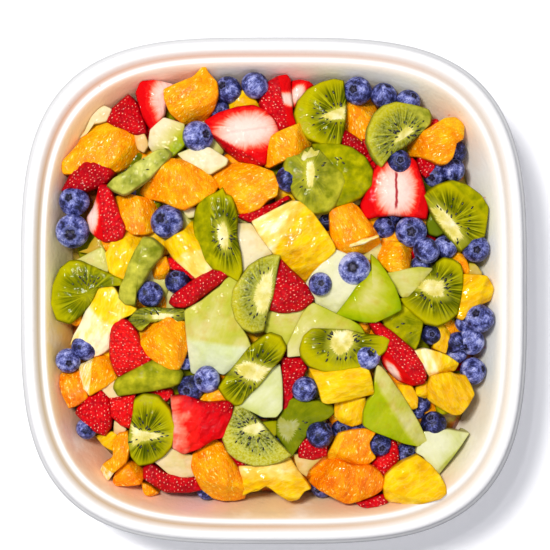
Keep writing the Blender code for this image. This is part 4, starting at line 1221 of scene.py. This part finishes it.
# Red skin, dimpled by cells and painted darker as shade near its edges, and cut faces that pale from
# the skin inwards with rays and a seam, which in a cleft is painted dark red as the shade down the split.
def strawberryMaterial():
    n = Nodes("strawberry_flesh")
    u, v, key = n.parts(n.kept("local"))
    cut, edge, luck = n.parts(n.kept("marks"))
    place = n.place()
    reach, spoke = n.polar(u, v)
    shift = n.put("ShaderNodeCombineXYZ", X=key, Y=n.times(reach, 0.14)).outputs[0]
    rays = n.noise(n.vectors("ADD", spoke, shift), 9.0, 3.0, 0.6)
    blur = n.noise(place, 170.0, 3.0)
    fine = n.noise(place, 900.0, 3.0, 0.6)
    depth = n.timesPlus(rays, 0.34, n.timesPlus(blur, 0.34, n.minus(reach, 0.34)))
    face = n.ramp(depth, (0.0, 250, 218, 206), (0.45, 250, 204, 190), (0.66, 248, 172, 152),
                  (0.77, 248, 112, 86), (0.87, 236, 30, 20), (1.0, 216, 6, 12), (1.2, 236, 22, 22))
    cleft = n.step(luck, 1.0, 1.5)
    luck = n.math("FRACT", luck)
    wander = n.timesPlus(n.minus(blur, 0.5), 0.16, v)
    narrow = n.step(n.math("ABSOLUTE", wander), 0.085, 0.02)
    seam = n.times(narrow, n.step(n.math("ABSOLUTE", u), 0.62, 0.45))
    # A cleft's seam is painted dark red as the shade down the split; other seams are a pale pink line.
    seam = n.times(seam, n.timesPlus(cleft, 0.75, 0.22))
    face = n.blend(seam, face, n.blend(cleft, colour(244, 128, 112), colour(168, 16, 34)))
    depth = n.timesPlus(luck, 0.5, n.times(blur, 0.6))
    skin = n.ramp(depth, (0.1, 122, 0, 12), (0.35, 178, 0, 16), (0.6, 218, 7, 18), (0.85, 242, 30, 22))
    bulges = n.cells(place, 470.0, "F1", 0.7)
    skin = n.stain(skin, n.times(n.step(bulges, 0.44, 0.75), 0.5), 128, 0, 12)
    # Painted shade: darker red near the skin's edges and down the sides.
    skin = n.stain(skin, n.times(n.step(edge, 0.75, 1.3), 0.7), 122, 0, 10)
    tint = n.blend(cut, skin, face)
    dimples = n.times(bulges, n.minus(1.0, cut))
    normal = n.bump(fine, 0.0004, 0.25, n.bump(dimples, 0.0009, 0.5, n.bump(blur, 0.004, 0.45)))
    wet = n.ripples(place, n.bump(dimples, 0.0016, 0.8))
    film = n.timesPlus(cut, -0.6, 1.0)
    return n.finish(tint, normal, depth=0.03, reach=(1.0, 0.2, 0.1), wet=wet, film=film)


# Seed places over the skins: a triangular net, turned, shaken, kept where the top is skin and inside.
def skinSeeds(chunks, pitch, draws):
    places = []
    for chunk in chunks:
        low, high = chunk.outline.real.min(), chunk.outline.real.max()
        bottom, top = chunk.outline.imag.min(), chunk.outline.imag.max()
        x, y = np.meshgrid(np.arange(low, high, pitch), np.arange(bottom, top, pitch * 0.87))
        x = x + 0.5 * pitch * (np.arange(len(x))[:, None] % 2)
        middleX, middleY = chunk.middle.real, chunk.middle.imag
        spun = ((x - middleX) + 1j * (y - middleY)) * np.exp(1j * (chunk.luck[2] * 3.0)) * 1.15
        x, y = middleX + spun.real.ravel(), middleY + spun.imag.ravel()
        x, y = x + draws.normal(0.0, 0.3, x.shape), y + draws.normal(0.0, 0.3, y.shape)
        _, left = chunk.inwards(x, y)
        keep = (left > 0.9) & (cutShare(chunk, x, y) < 0.3) & (draws.uniform(size=x.shape) < 0.85)
        x, y = x[keep], y[keep]
        turn = chunk.luck[1] * 3.0 + draws.uniform(-0.3, 0.3, x.shape)
        places.append(np.column_stack([x, y, chunk.height(x, y), turn, draws.uniform(-0.1, 0.1, x.shape)]))
    return np.vstack(places)


# The strawberries, with livelier lumps where no face is cut, and their seeds.
def makeStrawberries():
    chunks = chunksFrom(strawberries, strawberryForm, 700)
    for chunk in chunks:
        if chunk.form["cut"] < 0.5 and chunk.form["heart"] is None:
            chunk.form.update(lump=0.45, lumpLength=7.0)
    under = filler(strawberryForm, -1.6, 11.0, 760, shared(2))
    buildKind("strawberries", [chunks, under], strawberryPattern, strawberryMaterial())
    n = Nodes("strawberry_seed")
    # Seed colours from pink to near white: their own colour brightened into painted glints.
    seedSheen = n.step(n.noise(n.place(), 300.0, 1.0), 0.42, 0.6)
    tint = n.blend(seedSheen, colour(232, 104, 84), colour(255, 190, 160))
    pale = n.finish(tint, rough=0.25, gloss=0.3)
    places = skinSeeds(chunks, 1.95, np.random.default_rng(41))
    makeSeeds("strawberry_seeds", places, (0.84, 0.48, 0.46), pale, spread=0.35)


makeStrawberries()


# Oranges: outline, level, direction of the juice sacs, and how pale the pith is beyond the plane;
# fan is the tip from which a segment's sacs spread, and deep how much deeper its colour is.
oranges = [
    ([-99, 93.5, -94, 93, -88, 89, -78, 86, -75, 78, -73, 74, -78, 70, -85, 66, -92, 64, -116, 64, -117, 70,
      -108, 80, -103, 91],
     1, {"grain": 60, "plane": (95, 11, 0.3)}),
    ([-60.5, 110.5, -45, 117, -38.5, 124.5, -37, 120, -32, 114, -31.5, 108, -34, 100, -38.5, 94, -50, 92,
      -57, 98, -60, 105],
     3, {"grain": 45}),
    ([-58, 72.5, -51, 71.5, -40, 66, -36, 63.5, -31, 58, -34, 53, -45, 47, -50, 44.5, -55, 46, -61, 49,
      -70, 51, -76, 54, -70, 61, -64, 68],
     3, {"grain": 55, "fan": (-50, 86), "plane": (190, 16, 0.2), "pith": 0.2}),
    ([-35, 65, -26, 72, -12, 69, -1, 65, 2, 58, 1, 52, -4, 50, -8, 45.5, -14, 43, -20, 42, -21, 48, -26, 53,
      -31, 57],
     2, {"grain": 30}),
    ([-1, 85, 2, 86.5, 10, 90, 15, 92.5, 21, 83, 20, 80, 17, 76, 8, 73, -2, 68, -5, 69, -5, 75],
     3, {"grain": 140, "plane": (35, 9.5, 0.4)}),
    ([38, 104, 46, 103, 55, 104, 57, 100, 53, 92, 51, 83, 46, 84, 40, 88, 38, 92], 0, {"grain": 100}),
    ([66, 77, 72, 80, 80, 85, 88, 90, 94, 94, 100, 95, 104, 92, 105, 90, 104, 83, 100, 81, 98, 73, 95, 70,
      91, 69.5, 86, 72, 80, 74, 72, 74.5],
     2, {"grain": 20, "plane": (60, 10.5, 0.3)}),
    ([-90, 51, -88, 46, -85, 38, -82, 34, -78, 31, -70, 31, -66, 33, -66, 40, -64, 46, -62, 49, -75, 51,
      -82, 53],
     1, {"grain": 100}),
    ([31, 43.5, 37, 45.5, 43, 48, 47, 45, 50, 40, 54, 35, 57, 31, 59, 27, 61, 24.5, 58, 22, 52, 21,
      46, 20.5, 40, 20, 36, 21, 34, 24, 32, 29],
     2, {"grain": 115, "plane": (285, 6, 0.25), "pith": 0.2}),
    ([41, 24.6, 46, 26.2, 52, 28.3, 57, 30.2, 57.6, 28.8, 52, 26.6, 46, 24.4, 41.4, 23.2],
     2.6, {"grain": 18, "plane": (0, -99, 0), "pith": 1.0, "thick": 3.0, "soft": 0.4}),
    ([60, 27, 68, 26, 75, 23.5, 76, 19, 75, 12, 70, 10, 64, 10, 60, 14, 58, 18, 60, 22], 1, {"grain": 10}),
    ([97, 17, 101, 22, 103, 21, 106, 16, 108, 11, 107, 8.5, 104, 10, 101, 14], 0, {"grain": 120}),
    ([-107, -12, -104, -15, -109, -20, -113, -18], 0, {"grain": 30}),
    ([-108, -42, -104, -41, -100, -38, -92, -35, -91, -40, -89, -46, -87, -49, -93, -53, -98, -56,
      -102, -58.5, -105, -54, -107, -48],
     2, {"grain": 70, "plane": (175, 3, 0.3), "pith": 0.9}),
    ([-118, -47, -112, -46, -108, -43, -106, -50, -104, -56, -103, -59, -108, -63, -113, -65, -116, -58,
      -118, -52],
     1, {"grain": 110, "deep": 0.7}),
    ([-71, -20, -64, -18, -61, -15.5, -58, -15, -55, -17.5, -50, -18, -48, -24, -48, -31, -51, -40,
      -53, -44, -58, -43.5, -66, -39, -74, -33, -76, -24, -73, -21],
     3, {"grain": 125, "plane": (155, 13, 0.2)}),
    ([-43, -62, -38, -58, -32, -56, -30, -55, -26, -60, -24, -62, -30, -62.5], 1, {"grain": 20}),
    ([47, -18, 52, -18, 53, -24, 48, -24], 0, {"grain": 20}),
    ([-68, 14, -60, 18, -58, 12, -60, 6, -66, 6], 0, {"grain": 80}),
    ([-96, 27, -89, 27, -88, 21, -95, 21], 0, {"grain": 80}),
    ([-81, -79, -80, -88, -82, -95, -88, -100, -92, -106, -97, -101, -94, -96, -88, -92, -89, -86,
      -86, -80],
     2, {"grain": 80, "plane": (238, 8, 0.2), "pith": 1.0}),
    ([-80, -95, -73, -98, -72, -102, -74, -107, -82, -107.5, -89, -108.5, -88, -103, -86, -100],
     1, {"grain": 20, "deep": 0.7}),
    ([-73, -106, -71, -112, -68, -114, -64, -112, -68, -109], 0, {"grain": 50}),
    ([-34, -83, -29, -86, -25, -93, -21, -99, -19, -104, -16, -111, -17, -117, -22, -118, -30, -117.5,
      -34, -116.5, -40, -111, -44, -103, -46, -98, -45, -92, -40, -88],
     3, {"grain": 120, "plane": (255, 5.0, 0.3), "pith": 0.15}),
    ([30, -92, 33, -86, 36, -80, 40, -79, 50, -77.5, 56, -79, 52, -85, 53, -89, 56, -93, 50, -98, 44, -98.5,
      38, -95, 31, -95],
     2, {"grain": 75, "plane": (160, 7.5, 0.3)}),
    ([18, -104, 19, -99, 24, -94.5, 30, -92.5, 36, -95, 44, -98.5, 52, -97, 58, -101, 61, -106, 60, -111,
      56, -114, 48, -117, 40, -119, 33, -115, 25, -111, 20, -108],
     3, {"grain": 75, "dome": 4.5, "deep": 0.75, "soft": 1.6}),
]
orangeForm = dict(baseForm, thick=13.0, dome=1.2, lump=0.5, lumpLength=12.0, edge=0.7, soft=0.6, facets=4,
                  facetSlope=0.85, pith=0.5, deep=0.0, fan=None)


# The usual pattern with the pith's share; sacs that fan out lie by distance and angle from their tip.
def orangePattern(chunk, grid, beside, share):
    local, marks = plainPattern(chunk, grid, beside, share)
    marks[..., 0] = marks[..., 0] * chunk.form["pith"]
    marks[..., 2] = 0.25 * chunk.luck[0] + chunk.form["deep"]
    if chunk.form["fan"]:
        tipX, tipY = chunk.form["fan"]
        away = grid[..., 0] - tipX + 1j * (grid[..., 1] - tipY)
        local[..., 0], local[..., 1] = np.abs(away), 28.0 * np.angle(-away)
    return local, marks


# Juice sacs as drawn-out cells with thin walls between, each its own tone, under pale pith strands;
# painted highlights lie on them as pale specks and spots, and the sides are painted darker as shade.
def orangeMaterial():
    n = Nodes("orange_flesh")
    local = n.kept("local")
    pith, edge, deep = n.parts(n.kept("marks"))
    wide = n.noise(local, 0.12, 3.0)
    chance = n.put("ShaderNodeTexNoise", Vector=local, Scale=0.16).outputs["Color"]
    drift = n.vectors("MULTIPLY_ADD", chance, (5.0, 5.0, 5.0), local)
    sacs = n.stretched(drift, (0.24, 0.8, 0.6))
    edges = n.cells(sacs, 1.0, "DISTANCE_TO_EDGE")
    drops = n.put("ShaderNodeTexVoronoi", Vector=sacs, Scale=1.0)
    each = n.parts(drops.outputs["Color"])[0]
    tone = n.timesPlus(each, 0.2, n.timesPlus(wide, 0.8, n.times(deep, -0.2)))
    tint = n.ramp(tone, (0.15, 232, 104, 0), (0.30, 247, 132, 0), (0.46, 255, 156, 0), (0.60, 255, 176, 2),
                  (0.80, 255, 200, 22))
    tint = n.stain(tint, n.times(n.step(edges, 0.07, 0.0), 0.3), 240, 122, 0)
    # Painted highlights: pale specks, and a pale spot in many sacs, stand for wet glints.
    glintSpecks = n.noise(local, 1.5, 2.0, 0.5)
    tint = n.stain(tint, n.times(n.step(glintSpecks, 0.62, 0.72), 0.7), 255, 222, 96)
    shine = n.times(n.step(drops.outputs["Distance"], 0.30, 0.14), n.step(each, 0.38, 0.5))
    tint = n.stain(tint, n.times(shine, 0.85), 255, 226, 120)
    strands = n.noise(n.stretched(local, (0.14, 0.7, 0.5)), 1.0, 4.0, 0.6)
    yellow = n.ramp(strands, (0.35, 255, 172, 0), (0.6, 255, 206, 30))
    white = n.ramp(strands, (0.35, 255, 196, 60), (0.5, 255, 226, 140), (0.65, 255, 244, 214))
    tint = n.blend(n.times(n.step(pith, 0.0, 0.45), 0.8), tint, yellow)
    tint = n.blend(n.step(pith, 0.55, 0.95), tint, white)
    # Painted shade: deeper orange down the sides.
    tint = n.stain(tint, n.times(n.step(edge, 1.0, 1.4), 0.6), 214, 100, 0)
    rounded = n.math("SMOOTH_MIN", edges, 0.25, 0.12)
    normal = n.bump(rounded, 0.0016, 0.55, n.bump(glintSpecks, 0.0008, 0.35, n.bump(wide, 0.004, 0.35)))
    wet = n.ripples(n.place(), n.bump(rounded, 0.0016, 0.4))
    return n.finish(tint, normal, depth=0.02, reach=(1.0, 0.5, 0.1), wet=wet)


# The oranges, with two kinds' share of filler.
def makeOranges():
    chunks = chunksFrom(oranges, orangeForm, 900)
    under = filler(orangeForm, -1.5, 11.5, 960, np.vstack([shared(3), shared(6)]))
    buildKind("oranges", [chunks, under], orangePattern, orangeMaterial())


makeOranges()


# Pineapple: outline, level, direction of the fibres, how much paler it is beyond the plane, or more
# golden where pale is under 0, and how light all of it is.
pineapples = [
    ([-27, 99, -25, 104, -17, 110, -12, 106, -8, 101, -14, 98], 0, {"grain": 40}),
    ([-12, 37.5, -5, 41, 3, 45, 7, 47, 10, 48.5, 14.5, 48, 18, 45, 21, 42, 26, 35, 31, 28, 33, 24,
      33.5, 21.5, 28, 16, 22, 10, 17, 5, 13, 7, 8, 11, 4, 15.5, 0, 20, -3, 24, -8, 30.5],
     3, {"grain": 35, "plane": (150, 8, 0), "pale": 0.9}),
    ([-91, 22, -90, 26, -84, 29, -82, 33, -78, 31, -72, 28, -74, 23, -78, 18, -82, 10, -83, 6, -88, 8,
      -91, 10, -93, 20],
     1, {"grain": 70, "light": 0.14}),
    ([-46, 38, -43, 36, -43, 28, -40, 20, -34, 12, -36, 10, -41, 6.5, -43, 6, -48, 11, -56, 18, -61, 26,
      -55, 29.5, -50, 32],
     2, {"grain": 125, "plane": (-60, 1.5, 0), "pale": 0.6, "light": 0.05}),
    ([-92, 3, -88, 0, -86, -4, -80, -9, -76, -11, -79, -14, -84, -16, -88, -19, -91, -24, -91, -32,
      -97, -36, -104, -38, -110, -35, -113, -30, -111, -25, -107, -19, -104, -12, -100, -4, -97, 2],
     2, {"grain": 70, "plane": (225, -2, 0.1), "pale": 0.8, "light": 0.24}),
    ([104, 8, 112, 7.5, 117, 7, 121, 0, 119, -6, 110, -9, 104, -16.5, 101, -15, 103, -6], 1, {"grain": 30}),
    ([20, -44, 28, -45, 36, -44.5, 46, -42.5, 52, -45, 54, -52, 55.5, -58, 45, -60, 30, -63, 27, -62,
      25, -54, 22, -48],
     3.4, {"grain": 5, "plane": (95, 6.5, 0.4), "pale": -0.25, "light": 0.08}),
    ([34, -62, 42, -61, 50, -60, 50, -68, 48, -74, 43, -75.5, 37, -73, 34, -70], 1, {"grain": 80}),
    ([90, -20, 99, -18, 97, -25, 95, -35, 88, -32], 0, {"grain": 80}),
    ([78, -34, 84, -33, 90, -35, 96, -37, 102, -41, 100, -45, 94, -46, 87, -49, 84, -44, 80, -38],
     2, {"grain": 100, "plane": (190, 0, 0), "pale": 0.9, "light": 0.1}),
    ([87, -48, 93, -47, 98, -46.5, 101, -48, 106, -48, 109, -54, 110.5, -58, 107, -64, 103, -69, 99, -69,
      92, -65, 86, -61, 85, -54],
     3, {"grain": 120, "light": -0.03}),
    ([79, -54, 84, -51, 86, -56, 84, -60, 79, -58], 1, {"grain": 20}),
    ([65, -51, 70, -53, 76, -54, 79, -60, 79, -65, 76, -66, 71, -60], 1, {"grain": 130}),
    ([-99, -81.5, -95, -81, -90, -79, -87, -80, -89, -89, -94, -86], 0, {"grain": 40}),
    ([-19, -98, -12, -98, -4, -97.5, 4, -95, 8, -93, 11, -98, 14, -102, 20, -110, 16, -111.5, 13, -116,
      8, -117, 2, -113, -2, -109, -5, -108, -8, -111, -15, -113, -17, -115, -19, -108],
     2, {"grain": 20, "plane": (90, 2, 0.1), "pale": 0.5}),
    ([62, -103, 66, -99, 72, -95, 79, -92, 86, -97, 91, -103, 94, -108, 94.5, -112, 91, -115, 83, -117,
      74, -120, 65, -121.5, 62, -116, 61, -109],
     3, {"grain": 30, "plane": (265, 10, 0.3), "pale": 0.4, "light": 0.08}),
]
pineappleForm = dict(baseForm, thick=14.0, dome=1.0, lump=0.5, lumpLength=11.0, edge=0.7, soft=0.6, facets=3,
                     facetSlope=0.6, pale=0.0, light=0.0)


# The usual pattern with a ragged border to the paler part, and lightness in place of luck.
def pineapplePattern(chunk, grid, beside, share):
    local, marks = plainPattern(chunk, grid, beside, share)
    x, y = grid[..., 0], grid[..., 1]
    ragged = chunk.beyondCut(x, y) + 2.5 * lumps(x, y, 9.0, chunk.key)
    marks[..., 0] = np.clip(ragged / 4.0 + 0.5, 0.0, 1.0) * chunk.form["pale"]
    marks[..., 2] = 0.08 * chunk.luck[0] + chunk.form["light"]
    return local, marks


# Yellow flesh streaked along its fibres, creamy in the pale part, and painted darker as shade down its
# sides.
def pineappleMaterial():
    n = Nodes("pineapple_flesh")
    local = n.kept("local")
    pale, edge, light = n.parts(n.kept("marks"))
    wide = n.noise(n.stretched(local, (0.09, 0.19, 0.15)), 1.0, 3.0, 0.5)
    veins = n.noise(n.stretched(local, (0.12, 0.3, 0.3)), 1.0, 2.0)
    veins = n.math("ABSOLUTE", n.minus(veins, 0.5))
    fibres = n.noise(n.stretched(local, (0.11, 0.62, 0.4)), 1.0, 5.0, 0.62)
    fine = n.noise(n.stretched(local, (0.5, 2.2, 1.5)), 1.0, 3.0, 0.6)
    blend = n.timesPlus(wide, 1.05, n.timesPlus(fibres, 0.14, light))
    blend = n.timesPlus(fine, 0.05, n.minus(blend, 0.17))
    tint = n.ramp(blend, (0.34, 226, 162, 0), (0.46, 235, 179, 0), (0.56, 242, 191, 0), (0.66, 245, 202, 4),
                  (0.76, 248, 211, 40), (0.9, 252, 230, 130))
    tint = n.stain(tint, n.times(n.step(veins, 0.05, 0.006), 0.14), 255, 228, 120)
    cream = n.ramp(blend, (0.4, 248, 206, 90), (0.55, 253, 228, 140), (0.72, 255, 246, 214))
    tint = n.blend(n.above(pale), tint, cream)
    tint = n.stain(tint, n.below(pale), 250, 170, 10)
    tint = n.stain(tint, n.times(n.step(fibres, 0.42, 0.3), 0.08), 240, 176, 0)
    # Painted shade: darker gold down the sides.
    tint = n.stain(tint, n.times(n.step(edge, 1.02, 1.4), 0.5), 208, 150, 0)
    normal = n.bump(fibres, 0.0012, 0.25, n.bump(fine, 0.0006, 0.2, n.bump(wide, 0.006, 0.4)))
    return n.finish(tint, normal, depth=0.02, reach=(1.0, 0.8, 0.1), wet=n.ripples(n.place()))


# The pineapple, and its share of filler.
def makePineapple():
    chunks = chunksFrom(pineapples, pineappleForm, 1100)
    under = filler(pineappleForm, -1.5, 11.5, 1160, shared(4))
    buildKind("pineapple", [chunks, under], pineapplePattern, pineappleMaterial())


makePineapple()


# Melon: outline, level, and colour. tone is 0 for cream and 1 for green, drift how it changes along
# the grain, step and chill what the part beyond the plane adds to tone and warm, and glow how much
# painted light pales the middle; warm is peach above 0 and cool below.
melons = [
    ([-104, 88, -101, 94, -97, 99, -94, 101, -90, 99, -93, 93, -99, 92, -103, 86, -107, 84],
     1.4, {"tone": 0.08, "warm": 0.25}),
    ([-77, 85.5, -72, 86, -70, 80, -72, 76, -75, 78], 0.5, {"tone": 0.1, "warm": 0.8}),
    ([-68, 88, -61, 94.5, -50, 91, -50, 80, -58, 72, -66, 75, -69, 80],
     1, {"tone": 0.36, "drift": 0.5, "grain": -45, "warm": 0.1}),
    ([-53, 75, -46, 77.5, -36, 78, -26, 72, -27, 69, -36, 64, -48, 70], 1, {"tone": 0.12}),
    ([-108, 21, -103, 22, -98, 30, -95, 27, -94, 22, -100, 20], 0, {"tone": 0.55, "warm": 0.9}),
    ([-110, 16, -100, 20.5, -95, 23, -93, 19, -92, 10, -97, 11, -104, 14], 1, {"tone": 0.4}),
    ([-50, 43.5, -43, 45, -43, 41, -47, 40], 0, {"tone": 0.2}),
    ([-21, 36, -13, 36, -8, 30, -1, 21, -3, 18.5, -9, 15, -14, 11, -17, 8.5, -19, 18, -22, 31],
     1, {"tone": 0.08, "warm": 0.1}),
    ([34, 21.5, 40, 19, 50, 14, 50, 5, 46, 0, 41, -6, 35, -13, 28, -10, 24, -8, 22, -4, 18, 3, 22, 9,
      28, 15],
     2, {"tone": 0.02, "drift": 0.2, "grain": -60, "warm": -0.3}),
    ([54, 19, 58, 15, 62, 9, 66, 2, 69, -6, 70, -11, 62, -15, 56, -17.5, 50, -17.5, 43, -16, 35, -13.5,
      41, -6, 46, 1, 50, 5, 54, 10],
     3, {"tone": 0.86, "drift": 0.15, "grain": -30, "plane": (195, 9, 0.3), "glow": 0.5}),
    ([63, 9, 70, 10, 80, 12, 87, 11.5, 88, 9, 82, 4, 79, -1, 77, -3, 71, -4, 68, 0], 1, {"tone": 0.45}),
    ([108, 14, 111, 13.5, 114.5, 9, 113, 7.5, 108, 8], 0, {"tone": 0.5, "warm": 0.5}),
    ([-49, -12, -40, -7, -34, -2, -30, 1, -27, 5, -22, 8, -20, 3, -22, -6, -22, -16, -19, -21, -16, -25,
      -13, -32, -20, -40, -28, -47, -33, -45, -40, -48, -46, -46, -47, -36, -48, -24],
     2, {"tone": 0.34, "drift": 0.08, "grain": 70, "plane": (262, 6, 0.14), "step": -0.2, "chill": -0.7,
         "blend": 2.5, "glow": -0.05}),
    ([-3, -12.5, 6, -12.5, 14, -11.5, 19, -9, 15, -15, 12, -22, 9, -28, 8, -31, 4, -28, 0, -26, -5, -23,
      -4, -18],
     1, {"tone": 0.5}),
    ([22, -8, 28, -11, 34, -14, 42, -17, 47, -20, 50, -25, 40, -23.5, 28, -23, 20, -24, 17, -30, 16, -36,
      8, -37, 8, -30, 12, -22, 16, -14, 19, -10],
     2, {"tone": 0.5, "drift": 0.15, "grain": 40}),
    ([-8, -52, -2, -44, 3, -42, 4, -50, 4, -66, 1, -70, -6, -70, -12, -67, -19, -64, -13, -58],
     2, {"tone": 0.3, "drift": -0.1, "grain": 40, "warm": -0.5}),
    ([57, -42, 60, -44, 64, -49, 70, -58, 75, -66, 80, -74, 84, -82, 85, -85, 80, -87, 72, -85, 62, -80.5,
      55, -78, 50, -75, 50, -68, 52, -62, 56, -58, 55.5, -52],
     3, {"tone": 0.8, "drift": -0.1, "grain": 60, "plane": (32, 1.0, 0.3), "step": -0.35, "blend": 2.5}),
    ([-95, -55, -88, -50, -86, -54, -85, -60, -90, -60], 1, {"tone": 0.05, "warm": 0.4}),
    ([-88, -73, -85, -75, -82, -77, -84, -80, -88, -79], 0, {"tone": 0.05, "warm": 0.5}),
    ([-66, -95, -60, -90, -57, -88, -50, -91, -45, -92, -46, -98, -44, -103, -50, -104, -56, -103,
      -62, -98],
     1, {"tone": 0.1, "warm": 0.35}),
    ([-7, -74, 2, -73, 2, -78, -1, -82], 0, {"tone": 0.75, "warm": 0.5}),
    ([11, -91, 18, -92, 26, -93, 19, -99, 18, -103, 14, -100], 0, {"tone": 0.3, "warm": 0.6}),
    ([83, -79, 96, -78, 108, -80, 104, -85, 98, -93, 91, -102.5, 87, -98, 83, -92, 79, -90, 80, -86,
      85, -84],
     2, {"tone": 0.22, "drift": 0.15, "grain": -50, "plane": (-45, 7, 0.5), "warm": -0.4}),
]
melonForm = dict(baseForm, thick=13.0, dome=0.7, lump=0.3, lumpLength=17.0, edge=0.5, soft=0.5, facets=1,
                 facetSlope=0.4, tone=0.3, drift=0.0, warm=0.0, step=0.12, blend=0.8, glow=0.16, chill=0.0)


# The usual pattern; marks are tone, paled towards the middle by painted light, nearness to the edge,
# by which the sides are painted in shade, and warmth.
def melonPattern(chunk, grid, beside, share):
    local, marks = plainPattern(chunk, grid, beside, share)
    size = np.abs(chunk.outline - chunk.middle).mean()
    beyond = np.clip(chunk.beyondCut(grid[..., 0], grid[..., 1]) / chunk.form["blend"] + 0.5, 0.0, 1.0)
    tone = chunk.form["tone"] + chunk.form["drift"] * local[..., 0] / size + chunk.form["step"] * beyond
    # Painted light: glow pales the tone towards the middle of the top.
    tone = tone - chunk.form["glow"] * (1.0 - np.clip(marks[..., 1], 0.0, 1.0) ** 2)
    warm = np.full(tone.shape, chunk.form["warm"]) + chunk.form["chill"] * beyond
    return local, np.stack([np.clip(tone, 0.0, 1.3), marks[..., 1], warm], axis=-1)


# Cream to green flesh by tone, with wide drifts, fine strands and a warm or a cool cast, painted darker
# as shade down the sides.
def melonMaterial():
    n = Nodes("honeydew_flesh")
    local = n.kept("local")
    tone, edge, warm = n.parts(n.kept("marks"))
    wide = n.noise(local, 0.07, 3.0)
    soft = n.noise(local, 0.16, 2.0)
    fine = n.noise(local, 1.3, 4.0, 0.6)
    strands = n.noise(n.stretched(local, (0.14, 0.5, 0.3)), 1.0, 3.0)
    shade = n.timesPlus(n.minus(wide, 0.5), 0.75, tone)
    shade = n.timesPlus(n.minus(strands, 0.5), 0.2, shade)
    tint = n.ramp(shade, (0.0, 231, 221, 183), (0.2, 215, 207, 138), (0.42, 195, 191, 80),
                  (0.62, 173, 179, 18), (0.82, 152, 168, 0), (1.0, 129, 151, 0))
    peach = n.timesPlus(n.step(soft, 0.5, 0.7), 0.3, warm)
    peach = n.math("MINIMUM", n.above(peach), 1.0)
    tint = n.blend(peach, tint, colour(250, 202, 138), "MULTIPLY")
    cool = n.ramp(shade, (0.1, 214, 225, 181), (0.5, 187, 203, 104), (0.9, 145, 172, 10))
    tint = n.blend(n.below(warm), tint, cool)
    # Painted shade: darker olive down the sides.
    tint = n.stain(tint, n.times(n.step(edge, 1.02, 1.4), 0.6), 160, 158, 50)
    normal = n.bump(fine, 0.0005, 0.3, n.bump(wide, 0.008, 0.4))
    return n.finish(tint, normal, depth=0.05, reach=(0.9, 1.0, 0.4), wet=n.ripples(n.place()), film=0.4)


# The melon, and its share of filler.
def makeMelon():
    chunks = chunksFrom(melons, melonForm, 1300)
    under = filler(melonForm, -1.6, 12.0, 1360, shared(5))
    buildKind("melon", [chunks, under], melonPattern, melonMaterial())


makeMelon()


# The floor, a hair under the bowl's foot, and the lights: place, width in metres, watts and tint.
floorForm = {"half": 3.0, "under": -0.0004, "tint": (252, 252, 255), "rough": 0.9, "gloss": 0.1}
lamps = {
    "key_light": ((-0.5, 0.46, 1.65), 0.32, 22.5, (1.0, 0.985, 0.96)),
    "glint_light": ((-0.22, 0.30, 1.5), 0.06, 2.5, (1.0, 1.0, 1.0)),
    "fill_light": ((0.55, -0.85, 1.55), 1.4, 6.0, (0.95, 0.96, 1.0)),
}
air = {"tint": (0.93, 0.94, 1.0, 1.0), "strength": 0.4}


# A square of plain white floor.
def makeStage():
    half, low = floorForm["half"], floorForm["under"]
    mesh = bpy.data.meshes.new("studio_floor")
    mesh.from_pydata([(-half, -half, low), (half, -half, low), (half, half, low), (-half, half, low)], [],
                     [(0, 1, 2, 3)])
    white = Nodes("studio_floor").finish(colour(*floorForm["tint"]), rough=floorForm["rough"],
                                         gloss=floorForm["gloss"])
    mesh.materials.append(white)
    floor = bpy.data.objects.new("studio_floor", mesh)
    bpy.context.scene.collection.objects.link(floor)


# A round lamp that looks at the middle of the floor.
def makeLight(name, place, size, energy, tint):
    lamp = bpy.data.lights.new(name, "AREA")
    lamp.shape = "DISK"
    lamp.size = size
    lamp.energy = energy
    lamp.color = tint
    made = bpy.data.objects.new(name, lamp)
    bpy.context.scene.collection.objects.link(made)
    made.location = place
    away = np.array(place) / np.linalg.norm(place)
    made.rotation_euler = (math.acos(away[2]), 0.0, math.atan2(away[1], away[0]) + math.pi / 2.0)


makeStage()
for name, lamp in lamps.items():
    makeLight(name, *lamp)
world = bpy.data.worlds.new("studio_air")
world.use_nodes = True
background = world.node_tree.nodes["Background"].inputs
background["Color"].default_value = air["tint"]
background["Strength"].default_value = air["strength"]
bpy.context.scene.world = world
bpy.context.scene.view_settings.view_transform = "Standard"

# The camera: straight above, a little north of the middle, as wide as "across" at the rim.
lens = bpy.data.cameras.new("camera")
lens.sensor_width = view["sensor"]
lens.lens = view["sensor"] * view["away"] / view["across"]
lens.clip_start = 0.05
camera = bpy.data.objects.new("camera", lens)
bpy.context.scene.collection.objects.link(camera)
camera.location = (view["eye"][0] * mm, view["eye"][1] * mm, (bowlHeight + view["away"]) * mm)
bpy.context.scene.camera = camera

print("pieces dressed")
